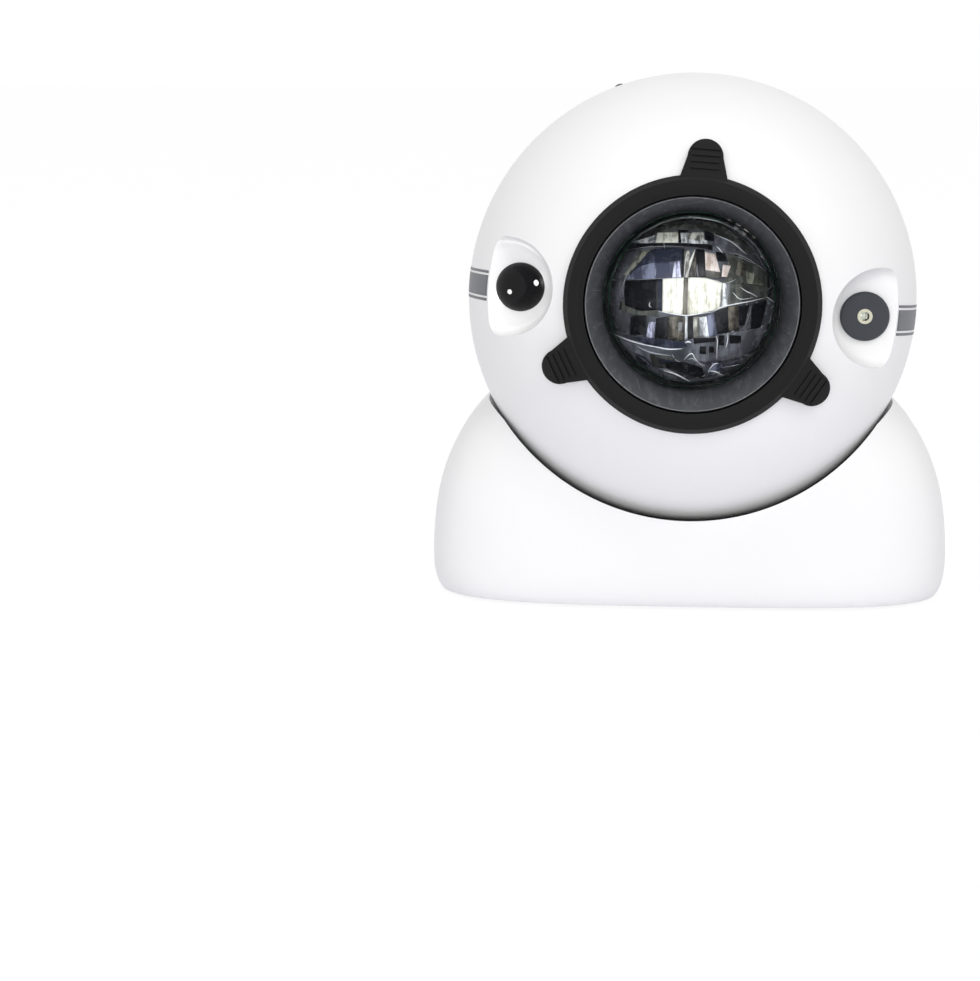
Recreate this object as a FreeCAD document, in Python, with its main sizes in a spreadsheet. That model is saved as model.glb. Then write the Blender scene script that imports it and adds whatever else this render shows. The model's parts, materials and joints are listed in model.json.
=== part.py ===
import FreeCAD, Part
import math
import os

import Sketcher

from FreeCAD import Placement, Rotation, Vector

# Planetarium projector: a ball head with a focus ring, a clear dome lens and two
# eyes, held by a magnet in the cradle of a wide base. Millimetres, +Z up, the
# origin in the middle of the base's underside, the lens looking along -Y.

# Driving sizes

BALL = {
    "ball_radius": 70,
    "head_tilt": 4.3,
    "head_roll": 4.4,
    "shell_wall": 2.4,
    "moving_gap": 0.4,
    "seat_gap": 0.2,
    "running_gap": 0.05,
    "overrun": 6,
}

SHELLS = {
    "opening_radius": 33.5,
    "collar_width": 4.5,
    "joint_post_radius": 4,
    "joint_seat_depth": 12,
    "joint_screw_length": 26,
    "screw_radius": 1.3,
    "screw_head_radius": 2.6,
    "screw_head_height": 1.8,
    "lug_hole_length": 9,
    "board_hole_length": 9.6,
    "vent_width": 2.6,
    "vent_length": 26,
    "vent_pitch": 6.4,
    "vent_height": 20,
}

EYES = {
    "eye_radius": 7.4,
    "well_radius": 15,
    "well_round": 3.6,
    "eye_hole_radius": 5.4,
    "eye_disc_height": 2.2,
    "dome_height": 4.6,
    "eye_skirt": 3.6,
    "aperture_outer": 2.25,
    "aperture_inner": 1.35,
    "aperture_height": 0.5,
}

LENS = {
    "ring_radius": 37.6,
    "ring_bore": 31.7,
    "ring_crest_width": 1.4,
    "retainer_width": 3.2,
    "retainer_height": 1.4,
    "tab_reach": 48.2,
    "tab_tip_radius": 5.2,
    "tab_root_width": 15,
    "tab_root_reach": 34.6,
    "tab_height": 3,
    "tab_rib_height": 0.3,
    "tab_rib_width": 0.9,
    "tab_rib_pitch": 1.9,
    "barrel_wall": 1.3,
    "bezel_wall": 1,
    "dome_radius": 26.7,
    "dome_wall": 1.6,
    "dome_flange_height": 2,
    "dome_flange_width": 1.6,
}

OPTICS = {
    "tube_wall": 1.6,
    "lug_reach": 44,
    "lug_radius": 4.6,
    "lug_height": 3,
    "back_lug_reach": 32,
    "back_lug_radius": 3.4,
    "board_thickness": 1.6,
    "emitter_size": 3.5,
    "emitter_height": 1.3,
    "emitter_reach": 6.2,
    "reflector_low_radius": 10.4,
    "reflector_high_radius": 24,
    "reflector_height": 12,
    "reflector_wall": 0.8,
    "gear_module": 1,
    "gear_thickness": 2.4,
    "hub_radius": 3.2,
    "hub_height": 3.4,
    "spindle_radius": 1.5,
    "clip_radius": 3,
    "clip_height": 0.7,
    "motor_radius": 6,
    "motor_length": 13,
    "motor_shaft_radius": 1,
    "motor_plate_height": 1.8,
    "sink_radius": 29,
    "sink_plate": 4,
    "fin_height": 13,
    "fin_width": 1.3,
    "fin_pitch": 6,
}

LASER = {
    "laser_radius": 3.3,
    "star_motor_y": -8,
    "star_motor_radius": 4,
    "star_shaft_radius": 0.75,
    "grating_radius": 11.6,
    "grating_thickness": 1,
    "grating_hub_radius": 2.2,
    "holder_height": 4,
    "holder_rim": 4,
    "holder_post_radius": 2.6,
    "upper_post_y": 15,
    "lower_post_y": -24,
    "receiver_board_size": 17,
    "receiver_board_height": 1,
    "receiver_post_radius": 1.8,
    "receiver_post_offset": 6.6,
    "receiver_post_length": 1.8,
    "sensor_size": 5.4,
    "sensor_height": 2.6,
}

BOARDS = {
    "main_board_radius": 38,
    "main_board_thickness": 1.6,
    "main_post_reach": 33,
    "main_post_radius": 3.4,
    "socket_drop": 26,
    "recess_radius": 9,
    "chip_size": 12,
    "chip_height": 1.6,
}

BUTTONS = {
    "button_radius": 1.6,
    "button_proud": 1.2,
    "button_flange_width": 0.9,
    "button_flange_height": 1.2,
    "button_stem_radius": 1,
    "button_stem_length": 3,
    "button_travel": 0.6,
    "switch_size": 5,
    "switch_height": 3,
    "plunger_radius": 0.8,
    "plunger_height": 0.8,
    "strip_width": 9,
    "strip_length": 29,
    "strip_thickness": 1,
    "strip_post_radius": 1.2,
}

BASE = {
    "ball_lift": 23,
    "base_half_width": 81.5,
    "base_half_depth": 44,
    "base_centre": 8,
    "base_rise": 10,
    "base_crown": 70,
    "base_bottom": 1,
    "bottom_tuck": 2.3,
    "base_wall": 2.6,
    "cup_gap": 1.2,
    "bite_gap": 0.6,
    "plate_level": 1.4,
    "plate_height": 2.4,
    "plate_gap": 0.5,
    "pad_side_inset": 27.5,
    "pad_end_inset": 14,
    "pad_sink": 0.8,
    "post_side_inset": 17.5,
    "post_end_inset": 32,
    "base_post_radius": 4.2,
    "base_screw_length": 14,
    "ballast_side_inset": 29.5,
    "ballast_end_inset": 21,
    "ballast_gap": 1.2,
    "ballast_hole_radius": 9,
}

SWIVEL = {
    "dish_radius": 15,
    "dish_drop": 7.4,
    "dish_gap": 0.9,
    "pad_inner": 11.6,
    "pad_outer": 14,
    "pad_drop": 1.4,
    "pad_gap": 0.3,
    "pivot_radius": 2.5,
    "pivot_bottom": 6.6,
    "pivot_drop": 3.6,
    "pivot_head_radius": 4.2,
    "pivot_head_height": 1.8,
    "pivot_boss_radius": 6,
    "pivot_boss_bottom": 6,
    "magnet_inner": 5.8,
    "magnet_outer": 11,
    "magnet_height": 2.4,
    "keeper_radius": 18,
    "keeper_thickness": 1.6,
}

# A standard reversible socket, which keeps its size

SOCKET = {
    "socket_width": 8.94,
    "socket_depth": 3.26,
    "socket_wall": 0.35,
    "tongue_width": 6.7,
    "tongue_depth": 0.7,
    "tongue_length": 5.6,
}

# Angles in degrees, tooth counts and the powers of the base's rounded outlines

TURNS = {
    "joint_post_start": 45,
    "lug_start": 30,
    "back_lug_start": 90,
    "main_post_start": 45,
    "pinion_angle": 60,
    "gear_teeth": 52,
    "pinion_teeth": 20,
    "button_side_angle": 24,
    "button_first_angle": 5.4,
    "button_step_angle": 10.6,
    "bite_slope": 6,
    "bite_taper": 5,
    "base_power_share": 3.5,
    "crown_power_share": 2.5,
}

# How far behind the ball's foremost point these places of the head lie, or before
# its rearmost point for those of the main board and the socket

DEPTHS = {
    "collar_reach": 13.5,
    "well_floor": 37,
    "ring_front": 4.8,
    "ring_edge": 7.6,
    "ring_neck_end": 17.4,
    "barrel_front": 8.2,
    "barrel_back": 46.4,
    "bezel_back": 40.6,
    "dome_centre": 44.8,
    "tube_front": 22,
    "tube_step": 48,
    "lug_level": 39,
    "board_level": 67.6,
    "gear_level": 52.6,
    "spindle_front": 47,
    "laser_back": 63,
    "laser_front": 43.4,
    "star_motor_back": 58.6,
    "star_motor_front": 44.6,
    "grating_level": 42.2,
    "holder_level": 55.4,
    "main_board_level": 26,
    "socket_mouth": 12.6,
}

# How far inside the ball's radius these places lie, across the lens axis

INSETS = {
    "joint_post_reach": 12,
    "eye_offset": 18,
    "well_offset": 14,
    "star_motor_x": 24,
    "upper_post_x": 15,
    "lower_post_x": 29,
}

GROUPS = [BALL, SHELLS, EYES, LENS, OPTICS, LASER, BOARDS, SOCKET, BUTTONS, BASE, SWIVEL, TURNS]
TURN = 360
QUARTER = 90
OUTLINE_POINTS = 56

# How many there are of each kind of like places

JOINT_POSTS = 4
MAIN_POSTS = 4
EMITTERS = 4
LUGS = 3
TABS = 3
TAB_RIBS = 4
VENTS_BESIDE_MIDDLE = 2

# How far a lug's foot is stepped inwards, as a share of the lug's radius

LUG_STEP_SHARE = 1.7

# A gear tooth: how far its root and tip lie from the pitch line, in modules, and
# half its width there, as a share of the pitch

ROOT_SHARE = -1.2
TIP_SHARE = 0.85
ROOT_HALF_SHARE = 0.34
TIP_HALF_SHARE = 0.12

doc = FreeCAD.newDocument("planetarium_projector")
sheet = doc.addObject("Spreadsheet::Sheet", "dims")


class Size:
    """A length or angle that knows its value and the sheet formula behind it."""

    def __init__(self, text, value):
        self.text = text
        self.value = value

    def joined(self, sign, other, value):
        return Size(f"({self.text} {sign} {as_size(other).text})", value)

    def __add__(self, other):
        return self.joined("+", other, self.value + float(as_size(other)))

    def __radd__(self, other):
        return as_size(other) + self

    def __sub__(self, other):
        return self.joined("-", other, self.value - float(as_size(other)))

    def __rsub__(self, other):
        return as_size(other) - self

    def __mul__(self, other):
        return self.joined("*", other, self.value * float(as_size(other)))

    def __rmul__(self, other):
        return as_size(other) * self

    def __truediv__(self, other):
        return self.joined("/", other, self.value / float(as_size(other)))

    def __neg__(self):
        return Size(f"(0 - {self.text})", -self.value)

    def __float__(self):
        return float(self.value)


def as_size(number):
    """Wraps a plain number so that it can stand in a formula."""
    return number if isinstance(number, Size) else Size(str(number), number)


def cosine(angle):
    return Size(f"cos({angle.text})", math.cos(math.radians(angle.value)))


def sine(angle):
    return Size(f"sin({angle.text})", math.sin(math.radians(angle.value)))


class Sheet:
    """The named sizes, each bound to a cell of the spreadsheet."""


dims = Sheet()
row = 0


def enter(alias, number):
    """Writes a number into the next row of the sheet."""
    global row
    row += 1
    sheet.set(f"A{row}", alias)
    sheet.set(f"B{row}", str(number))
    sheet.setAlias(f"B{row}", alias)
    return Size(f"dims.{alias}", number)


for group in GROUPS:
    for alias, number in group.items():
        setattr(dims, alias, enter(alias, number))
for alias, number in DEPTHS.items():
    setattr(dims, alias, dims.ball_radius - enter(f"{alias}_depth", number))
for alias, number in INSETS.items():
    setattr(dims, alias, dims.ball_radius - enter(f"{alias}_inset", number))
doc.recompute()

# Heights and places that follow from the sizes above

dims.ball_height = dims.ball_lift + dims.ball_radius
dims.dish_floor = dims.ball_lift - dims.dish_drop
dims.pad_floor = dims.ball_lift - dims.pad_drop
dims.pivot_shoulder = dims.ball_lift - dims.pivot_drop
dims.plate_top = dims.plate_level + dims.plate_height
dims.ballast_top = dims.dish_floor - dims.base_wall - dims.ballast_gap
dims.base_post_x = dims.base_half_width - dims.post_side_inset
dims.base_post_y = dims.base_half_depth - dims.post_end_inset
dims.pad_half_width = dims.base_half_width - dims.pad_side_inset
dims.pad_half_depth = dims.base_half_depth - dims.pad_end_inset
dims.ballast_width = (dims.base_half_width - dims.ballast_side_inset) * 2
dims.ballast_depth = (dims.base_half_depth - dims.ballast_end_inset) * 2


# Building blocks

def bind(item, prop, size):
    """Ties a property to its formula, or leaves it at 0."""
    item.setExpression(prop, as_size(size).text)


def place(item, x=0, y=0, z=0, rotation=None):
    item.Placement = Placement(Vector(0, 0, 0), rotation or Rotation())
    for axis, size in (("x", x), ("y", y), ("z", z)):
        if isinstance(size, Size):
            bind(item, f"Placement.Base.{axis}", size)
    return item


def rod(radius, low, high, x=0, y=0):
    """A cylinder along the local Z axis, from low to high."""
    item = doc.addObject("Part::Cylinder", "rod")
    bind(item, "Radius", radius)
    bind(item, "Height", high - low)
    return place(item, x, y, low)


def ball(radius):
    item = doc.addObject("Part::Sphere", "ball")
    bind(item, "Radius", radius)
    return item


def block(width, depth, low, high, x=0, y=0):
    """A box centred on x and y, from low to high."""
    item = doc.addObject("Part::Box", "block")
    bind(item, "Length", width)
    bind(item, "Width", depth)
    bind(item, "Height", high - low)
    return place(item, x - width / 2, y - depth / 2, low)


def fuse(parts, name="joined"):
    item = doc.addObject("Part::MultiFuse", name)
    item.Shapes = parts
    return item


def common(parts, name="shared"):
    item = doc.addObject("Part::MultiCommon", name)
    item.Shapes = parts
    return item


def cut(base, tools, name="trimmed"):
    item = doc.addObject("Part::Cut", name)
    item.Base = base
    item.Tool = tools[0] if len(tools) == 1 else fuse(tools)
    return item


def moved(item, x=0, y=0, z=0):
    """A finished shape set off from where it was drawn."""
    shift = doc.addObject("Part::Compound", "moved")
    shift.Links = [item]
    return place(shift, x, y, z)


def group_of(parts, name):
    """Like pieces kept as separate solids of one node."""
    item = doc.addObject("Part::Compound", name)
    item.Links = parts
    return item


def ring(inner, outer, low, high, x=0, y=0):
    return cut(rod(outer, low, high, x, y),
               [rod(inner, low - dims.overrun, high + dims.overrun, x, y)])


def around(count, start, reach):
    """The x and y of points evenly spaced on a circle."""
    spots = []
    for index in range(count):
        angle = start + index * TURN / count
        spots.append((reach * cosine(angle), reach * sine(angle)))
    return spots


def origin_plane(body, role):
    return [item for item in body.Origin.OriginFeatures if item.Role == role][0]


def outline_sketch(body, role, outline):
    """A closed outline of straight edges whose corners follow the sheet."""
    sketch = body.newObject("Sketcher::SketchObject", body.Name + "_outline")
    sketch.AttachmentSupport = [(origin_plane(body, role), "")]
    sketch.MapMode = "FlatFace"
    corners = [Vector(float(as_size(u)), float(as_size(v)), 0) for u, v in outline]
    count = len(corners)
    for index, corner in enumerate(corners):
        sketch.addGeometry(Part.LineSegment(corner, corners[(index + 1) % count]), False)
    for index in range(count):
        sketch.addConstraint(Sketcher.Constraint("Coincident", index, 2, (index + 1) % count, 1))
    for index, (u, v) in enumerate(outline):
        for kind, axis, size in (("DistanceX", -2, u), ("DistanceY", -1, v)):
            if isinstance(size, Size):
                number = sketch.addConstraint(
                    Sketcher.Constraint(kind, index, 1, float(size)))
                sketch.setExpression(f"Constraints[{number}]", size.text)
            else:
                sketch.addConstraint(Sketcher.Constraint("PointOnObject", index, 1, axis))
    return sketch


def turned(name, outline):
    """A body turned about its Z axis from an outline of radius and height."""
    body = doc.addObject("PartDesign::Body", name)
    sketch = outline_sketch(body, "XZ_Plane", outline)
    feature = body.newObject("PartDesign::Revolution", name + "_turn")
    feature.Profile = sketch
    feature.ReferenceAxis = (sketch, ["V_Axis"])
    feature.Angle = TURN
    body.Tip = feature
    return body


def padded(name, outline, low, high):
    """A body raised from a flat outline, between two heights."""
    body = doc.addObject("PartDesign::Body", name)
    sketch = outline_sketch(body, "XY_Plane", outline)
    feature = body.newObject("PartDesign::Pad", name + "_pad")
    feature.Profile = sketch
    bind(feature, "Length", high - low)
    bind(sketch, "AttachmentOffset.Base.z", low)
    body.Tip = feature
    return body


# Frames: the head turned in its cradle, and one frame along each button

head_frame = doc.addObject("App::Placement", "head_frame")
head_frame.setExpression(
    "Placement",
    f"create(<<placement>>; create(<<vector>>; 0; 0; {dims.ball_height.text});"
    f" create(<<rotation>>; create(<<vector>>; 1; 0; 0); {QUARTER} - dims.head_tilt)"
    " * create(<<rotation>>; create(<<vector>>; 0; 0; 1); 0 - dims.head_roll))")

BUTTON_NAMES = ["power_button", "mode_button", "timer_button"]


def strip_frame(name, steps):
    """A frame that points out of the ball, so many steps below the first button."""
    frame = doc.addObject("App::Placement", name)
    frame.setExpression(
        "Placement",
        "create(<<placement>>; create(<<vector>>; 0; 0; 0);"
        " create(<<rotation>>; create(<<vector>>; 0; 0; 1); dims.button_side_angle)"
        " * create(<<rotation>>; create(<<vector>>; 1; 0; 0);"
        f" 0 - {QUARTER} - dims.button_first_angle - {steps} * dims.button_step_angle))")
    return frame


button_frames = [strip_frame(f"button_frame_{index}", index)
                 for index in range(len(BUTTON_NAMES))]
down_frame = doc.addObject("App::Placement", "down_frame")
down_frame.Placement = Placement(Vector(), Rotation(Vector(1, 0, 0), QUARTER))

nodes = []


def keep(item, label, frame=None, inner=None):
    """Names a finished piece and sets it in the frame that carries it."""
    item.Label = label
    if frame and inner:
        item.setExpression("Placement", f"{frame.Name}.Placement * {inner.Name}.Placement")
    elif frame:
        item.setExpression("Placement", f"{frame.Name}.Placement")
    nodes.append(item)
    return item


def set_in(item, inner):
    """Turns a shape into another frame of the head."""
    turned_in = doc.addObject("Part::Compound", "turned_in")
    turned_in.Links = [item]
    turned_in.setExpression("Placement", f"{inner.Name}.Placement")
    return turned_in


def screw(length, seat, x, y, up=1):
    """A pan-head screw whose head bears on the seat and whose shank goes up."""
    head_end = seat - up * dims.screw_head_height
    tip = seat + up * length
    if up > 0:
        head = rod(dims.screw_head_radius, head_end, seat, x, y)
        shank = rod(dims.screw_radius, seat, tip, x, y)
    else:
        head = rod(dims.screw_head_radius, seat, head_end, x, y)
        shank = rod(dims.screw_radius, tip, seat, x, y)
    return fuse([head, shank])


# Ball shells, in the head's frame: X right, Y up, Z towards what it lights

inner_radius = dims.ball_radius - dims.shell_wall
joint_spots = around(JOINT_POSTS, dims.joint_post_start, dims.joint_post_reach)
main_spots = around(MAIN_POSTS, dims.main_post_start, dims.main_post_reach)
lug_spots = around(LUGS, dims.lug_start, dims.lug_reach)
tube_bore = dims.ring_bore - dims.seat_gap / 2
tube_radius = tube_bore + dims.tube_wall
receiver_floor = dims.well_floor - dims.shell_wall
receiver_spots = [(-dims.eye_offset, dims.receiver_post_offset),
                  (-dims.eye_offset, -dims.receiver_post_offset)]
holder_spots = [(dims.upper_post_x, dims.upper_post_y),
                (dims.lower_post_x, dims.lower_post_y)]
holder_top = dims.holder_level + dims.holder_height


def half_ball(radius, front):
    item = ball(radius)
    item.Angle1 = 0 if front else -QUARTER
    item.Angle2 = QUARTER if front else 0
    return item


def front_shell():
    collar = rod(dims.opening_radius + dims.collar_width, dims.collar_reach, dims.ball_radius)
    cups = [rod(dims.well_radius + dims.shell_wall, dims.well_floor - dims.shell_wall,
                dims.ball_radius, side * dims.well_offset) for side in (1, -1)]
    posts = [rod(dims.joint_post_radius, 0, dims.ball_radius, x, y) for x, y in joint_spots]
    posts += [rod(dims.lug_radius, dims.lug_level + dims.lug_height, dims.ball_radius, x, y)
              for x, y in lug_spots]
    posts += [rod(dims.holder_post_radius, holder_top, dims.ball_radius, x, y)
              for x, y in holder_spots]
    posts += [rod(dims.receiver_post_radius, receiver_floor - dims.receiver_post_length,
                  dims.well_floor, x, y) for x, y in receiver_spots]
    hollow = cut(ball(inner_radius), [collar] + cups + posts)
    holes = [rod(dims.opening_radius, 0, dims.ball_radius + dims.overrun)]
    for side in (1, -1):
        holes.append(well(side))
        holes.append(rod(dims.eye_hole_radius, dims.well_floor - dims.overrun,
                         dims.well_floor + dims.overrun, side * dims.eye_offset))
    holes += [rod(dims.screw_radius, 0, dims.joint_screw_length - dims.joint_seat_depth
                  + dims.seat_gap, x, y) for x, y in joint_spots]
    holes += [rod(dims.screw_radius, 0, dims.lug_level + dims.lug_hole_length, x, y)
              for x, y in lug_spots]
    holes += [rod(dims.screw_radius, 0, holder_top + dims.holder_height, x, y)
              for x, y in holder_spots]
    return cut(half_ball(dims.ball_radius, True), [hollow] + holes)


def well(side):
    """The room of an eye well, whose wall runs into its floor in a round."""
    item = rod(dims.well_radius, dims.well_floor, dims.ball_radius, side * dims.well_offset)
    doc.recompute()
    low = min(edge.BoundBox.ZMax for edge in item.Shape.Edges)
    rims = [(number, float(dims.well_round), float(dims.well_round))
            for number, edge in enumerate(item.Shape.Edges, start=1)
            if edge.BoundBox.ZMax == low]
    rounded = doc.addObject("Part::Fillet", "well")
    rounded.Base = item
    rounded.Edges = rims
    return rounded


def rear_shell():
    cups = [rod(dims.recess_radius + dims.shell_wall, -dims.ball_radius,
                dims.shell_wall - dims.socket_mouth, 0, -dims.socket_drop)]
    posts = [rod(dims.joint_post_radius + dims.shell_wall / 2, -dims.ball_radius, 0, x, y)
             for x, y in joint_spots]
    main_top = -dims.main_board_level - dims.main_board_thickness
    posts += [rod(dims.main_post_radius, -dims.ball_radius, main_top, x, y)
              for x, y in main_spots]
    strip_posts = [set_in(rod(dims.strip_post_radius, strip_top, dims.ball_radius), frame)
                   for frame in strip_post_frames]
    hollow = cut(ball(inner_radius), cups + posts + strip_posts)
    holes = [rod(dims.recess_radius, -dims.ball_radius, -dims.socket_mouth, 0,
                 -dims.socket_drop)]
    holes.append(block(dims.socket_width + dims.moving_gap, dims.socket_depth + dims.moving_gap,
                       -dims.ball_radius, -dims.main_board_level, 0, -dims.socket_drop))
    for x, y in joint_spots:
        holes.append(rod(dims.screw_head_radius + dims.seat_gap, -dims.ball_radius,
                         -dims.joint_seat_depth, x, y))
        holes.append(rod(dims.screw_radius + dims.seat_gap, -dims.ball_radius,
                         dims.overrun, x, y))
    holes += [rod(dims.screw_radius, dims.board_hole_length - dims.ball_radius, 0, x, y)
              for x, y in main_spots]
    for step in range(-VENTS_BESIDE_MIDDLE, VENTS_BESIDE_MIDDLE + 1):
        holes.append(block(dims.vent_width, dims.vent_length, -dims.ball_radius,
                           -dims.main_board_level, step * dims.vent_pitch, dims.vent_height))
    for frame in button_frames:
        holes.append(set_in(rod(dims.button_radius + dims.moving_gap, strip_top,
                                dims.ball_radius + dims.overrun), frame))
    return cut(half_ball(dims.ball_radius, False), [hollow] + holes)


# Buttons, switches and the strip that carries them

strip_top = (inner_radius - dims.moving_gap - dims.button_flange_height
             - dims.button_stem_length - dims.button_travel - dims.seat_gap
             - dims.plunger_height - dims.switch_height)
strip_post_frames = [strip_frame(f"post_frame_{index}", index + 1 / 2)
                     for index in range(len(BUTTON_NAMES) - 1)]


def button(name):
    """A domed cap, the flange that keeps it in and the stem under it."""
    flange_top = inner_radius - dims.moving_gap
    flange_low = flange_top - dims.button_flange_height
    flange = dims.button_radius + dims.button_flange_width
    crown = dims.ball_radius + dims.button_proud
    shoulder = dims.button_radius - dims.button_proud / 2
    return turned(name, [
        (0, flange_low - dims.button_stem_length),
        (dims.button_stem_radius, flange_low - dims.button_stem_length),
        (dims.button_stem_radius, flange_low),
        (flange, flange_low),
        (flange, flange_top),
        (dims.button_radius, flange_top),
        (dims.button_radius, crown - dims.button_proud / 2),
        (shoulder, crown - dims.button_proud / 8),
        (shoulder / 2, crown),
        (0, crown),
    ])


def switch():
    top = strip_top + dims.switch_height
    return fuse([block(dims.switch_size, dims.switch_size, strip_top, top, 0, 0),
                 rod(dims.plunger_radius, top, top + dims.plunger_height)])


def switch_strip():
    slab = block(dims.strip_width, dims.strip_length, 0, dims.ball_radius, 0, 0)
    curved = cut(ball(strip_top), [ball(strip_top - dims.strip_thickness)])
    return common([slab, curved])


keep(front_shell(), "front_shell", head_frame)
keep(rear_shell(), "rear_shell", head_frame)
for name, frame in zip(BUTTON_NAMES, button_frames):
    keep(button(name), name, head_frame, frame)
keep(group_of([set_in(switch(), frame) for frame in button_frames], "switches"),
     "button_switches", head_frame)
keep(switch_strip(), "switch_strip", head_frame, button_frames[1])


# Focus ring, its retaining ring and the sliding barrel with the dome lens

def tab(angle):
    """One grip tab: a tapered flap that follows the ball, with ribs at its tip."""
    tip_centre = dims.tab_reach - dims.tab_tip_radius
    flap = padded("tab_flap", [
        (-dims.tab_root_width / 2, dims.tab_root_reach),
        (dims.tab_root_width / 2, dims.tab_root_reach),
        (dims.tab_tip_radius, tip_centre),
        (-dims.tab_tip_radius, tip_centre),
    ], dims.collar_reach / 2, dims.ball_radius + dims.overrun)
    tip = rod(dims.tab_tip_radius, dims.collar_reach / 2, dims.ball_radius + dims.overrun,
              0, tip_centre)
    low = dims.ball_radius + dims.moving_gap
    top = low + dims.tab_height
    skin = cut(ball(top), [ball(low)])
    ribs = []
    for step in range(TAB_RIBS):
        ribs.append(block(dims.tab_tip_radius * 2 - dims.tab_rib_pitch, dims.tab_rib_width,
                          dims.collar_reach / 2, dims.ball_radius + dims.overrun, 0,
                          tip_centre + dims.tab_tip_radius / 2 - step * dims.tab_rib_pitch))
    rib_skin = cut(ball(top + dims.tab_rib_height), [ball(low + dims.tab_height / 2)])
    piece = fuse([common([fuse([flap, tip]), skin]), common([fuse(ribs), rib_skin])])
    piece.Placement = Placement(Vector(), Rotation(Vector(0, 0, 1), angle))
    return piece


def focus_ring():
    neck = dims.opening_radius - dims.moving_gap
    crest = dims.ring_bore + dims.ring_crest_width
    hoop = turned("ring_hoop", [
        (dims.ring_bore, dims.ring_neck_end),
        (neck, dims.ring_neck_end),
        (neck, dims.collar_reach),
        (dims.ring_radius, dims.collar_reach),
        (dims.ring_radius, dims.ring_edge),
        (dims.ring_radius - dims.ring_crest_width, dims.ring_front - dims.ring_crest_width / 2),
        (crest + dims.ring_crest_width, dims.ring_front),
        (crest, dims.ring_front),
        (dims.ring_bore, dims.ring_front - dims.ring_crest_width / 2),
    ])
    cheek = cut(ball(dims.ball_radius + dims.moving_gap),
                [rod(neck, 0, dims.ball_radius + dims.overrun)])
    tabs = [tab(index * TURN / TABS) for index in range(TABS)]
    return fuse([cut(hoop, [cheek])] + tabs)


def ring_retainer():
    """The clip behind the shell that keeps the focus ring in its opening."""
    neck = dims.opening_radius - dims.moving_gap
    top = dims.collar_reach - dims.moving_gap
    return ring(neck, neck + dims.retainer_width, top - dims.retainer_height, top)


barrel_radius = dims.ring_bore - dims.moving_gap
barrel_bore = barrel_radius - dims.barrel_wall
flange_radius = dims.dome_radius + dims.dome_flange_width
flange_level = dims.dome_centre - dims.dome_flange_height / 2


def lens_barrel():
    """The sliding tube: a seat for the dome's flange at its back."""
    back_lip = dims.dome_radius - dims.dome_wall
    return turned("barrel_tube", [
        (barrel_bore, dims.barrel_front),
        (barrel_radius, dims.barrel_front),
        (barrel_radius, dims.barrel_back),
        (back_lip, dims.barrel_back),
        (back_lip, flange_level),
        (flange_radius + dims.seat_gap, flange_level),
        (flange_radius + dims.seat_gap, flange_level + dims.dome_flange_height),
        (barrel_bore, flange_level + dims.dome_flange_height),
    ])


def lens_bezel():
    """The smoky funnel between the barrel's mouth and the dome."""
    low_outer = barrel_bore - dims.seat_gap
    low_bore = dims.dome_radius + dims.moving_gap
    return turned("bezel_funnel", [
        (low_bore, dims.bezel_back),
        (barrel_bore - dims.bezel_wall, dims.barrel_front - dims.bezel_wall),
        (barrel_bore - dims.bezel_wall, dims.barrel_front),
        (barrel_bore, dims.barrel_front),
        (barrel_bore, dims.barrel_front - dims.bezel_wall * 2),
        (low_bore + dims.bezel_wall, dims.bezel_back - dims.bezel_wall),
        (low_outer, flange_level + dims.dome_flange_height),
        (low_bore + dims.seat_gap, flange_level + dims.dome_flange_height),
        (low_bore, dims.bezel_back - dims.bezel_wall),
    ])


def dome_lens():
    """A clear hemisphere on a flat flange, hollow behind."""
    front = common([ball(dims.dome_radius), rod(dims.dome_radius, 0, dims.dome_radius)])
    shell = cut(front, [ball(dims.dome_radius - dims.dome_wall)])
    lift = moved(shell, 0, 0, dims.dome_centre)
    flange = ring(dims.dome_radius - dims.dome_wall, flange_radius, flange_level,
                  flange_level + dims.dome_flange_height)
    return fuse([lift, flange])


keep(focus_ring(), "focus_ring", head_frame)
keep(ring_retainer(), "ring_retainer", head_frame)
keep(lens_barrel(), "lens_barrel", head_frame)
keep(lens_bezel(), "lens_bezel", head_frame)
keep(dome_lens(), "dome_lens", head_frame)

# Optics frame and what it carries behind the lens

gear_radius = dims.gear_module * dims.gear_teeth / 2
pinion_pitch = dims.gear_module * dims.pinion_teeth / 2
gear_distance = gear_radius + pinion_pitch
pinion_x = gear_distance * cosine(dims.pinion_angle)
pinion_y = gear_distance * sine(dims.pinion_angle)
back_bore = gear_radius + dims.gear_module + dims.moving_gap
back_radius = back_bore + dims.tube_wall
board_top = dims.board_level + dims.board_thickness
back_spots = around(LUGS, dims.back_lug_start, dims.back_lug_reach)
gear_top = dims.gear_level + dims.gear_thickness
motor_top = dims.gear_level - dims.moving_gap - dims.motor_plate_height


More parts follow.
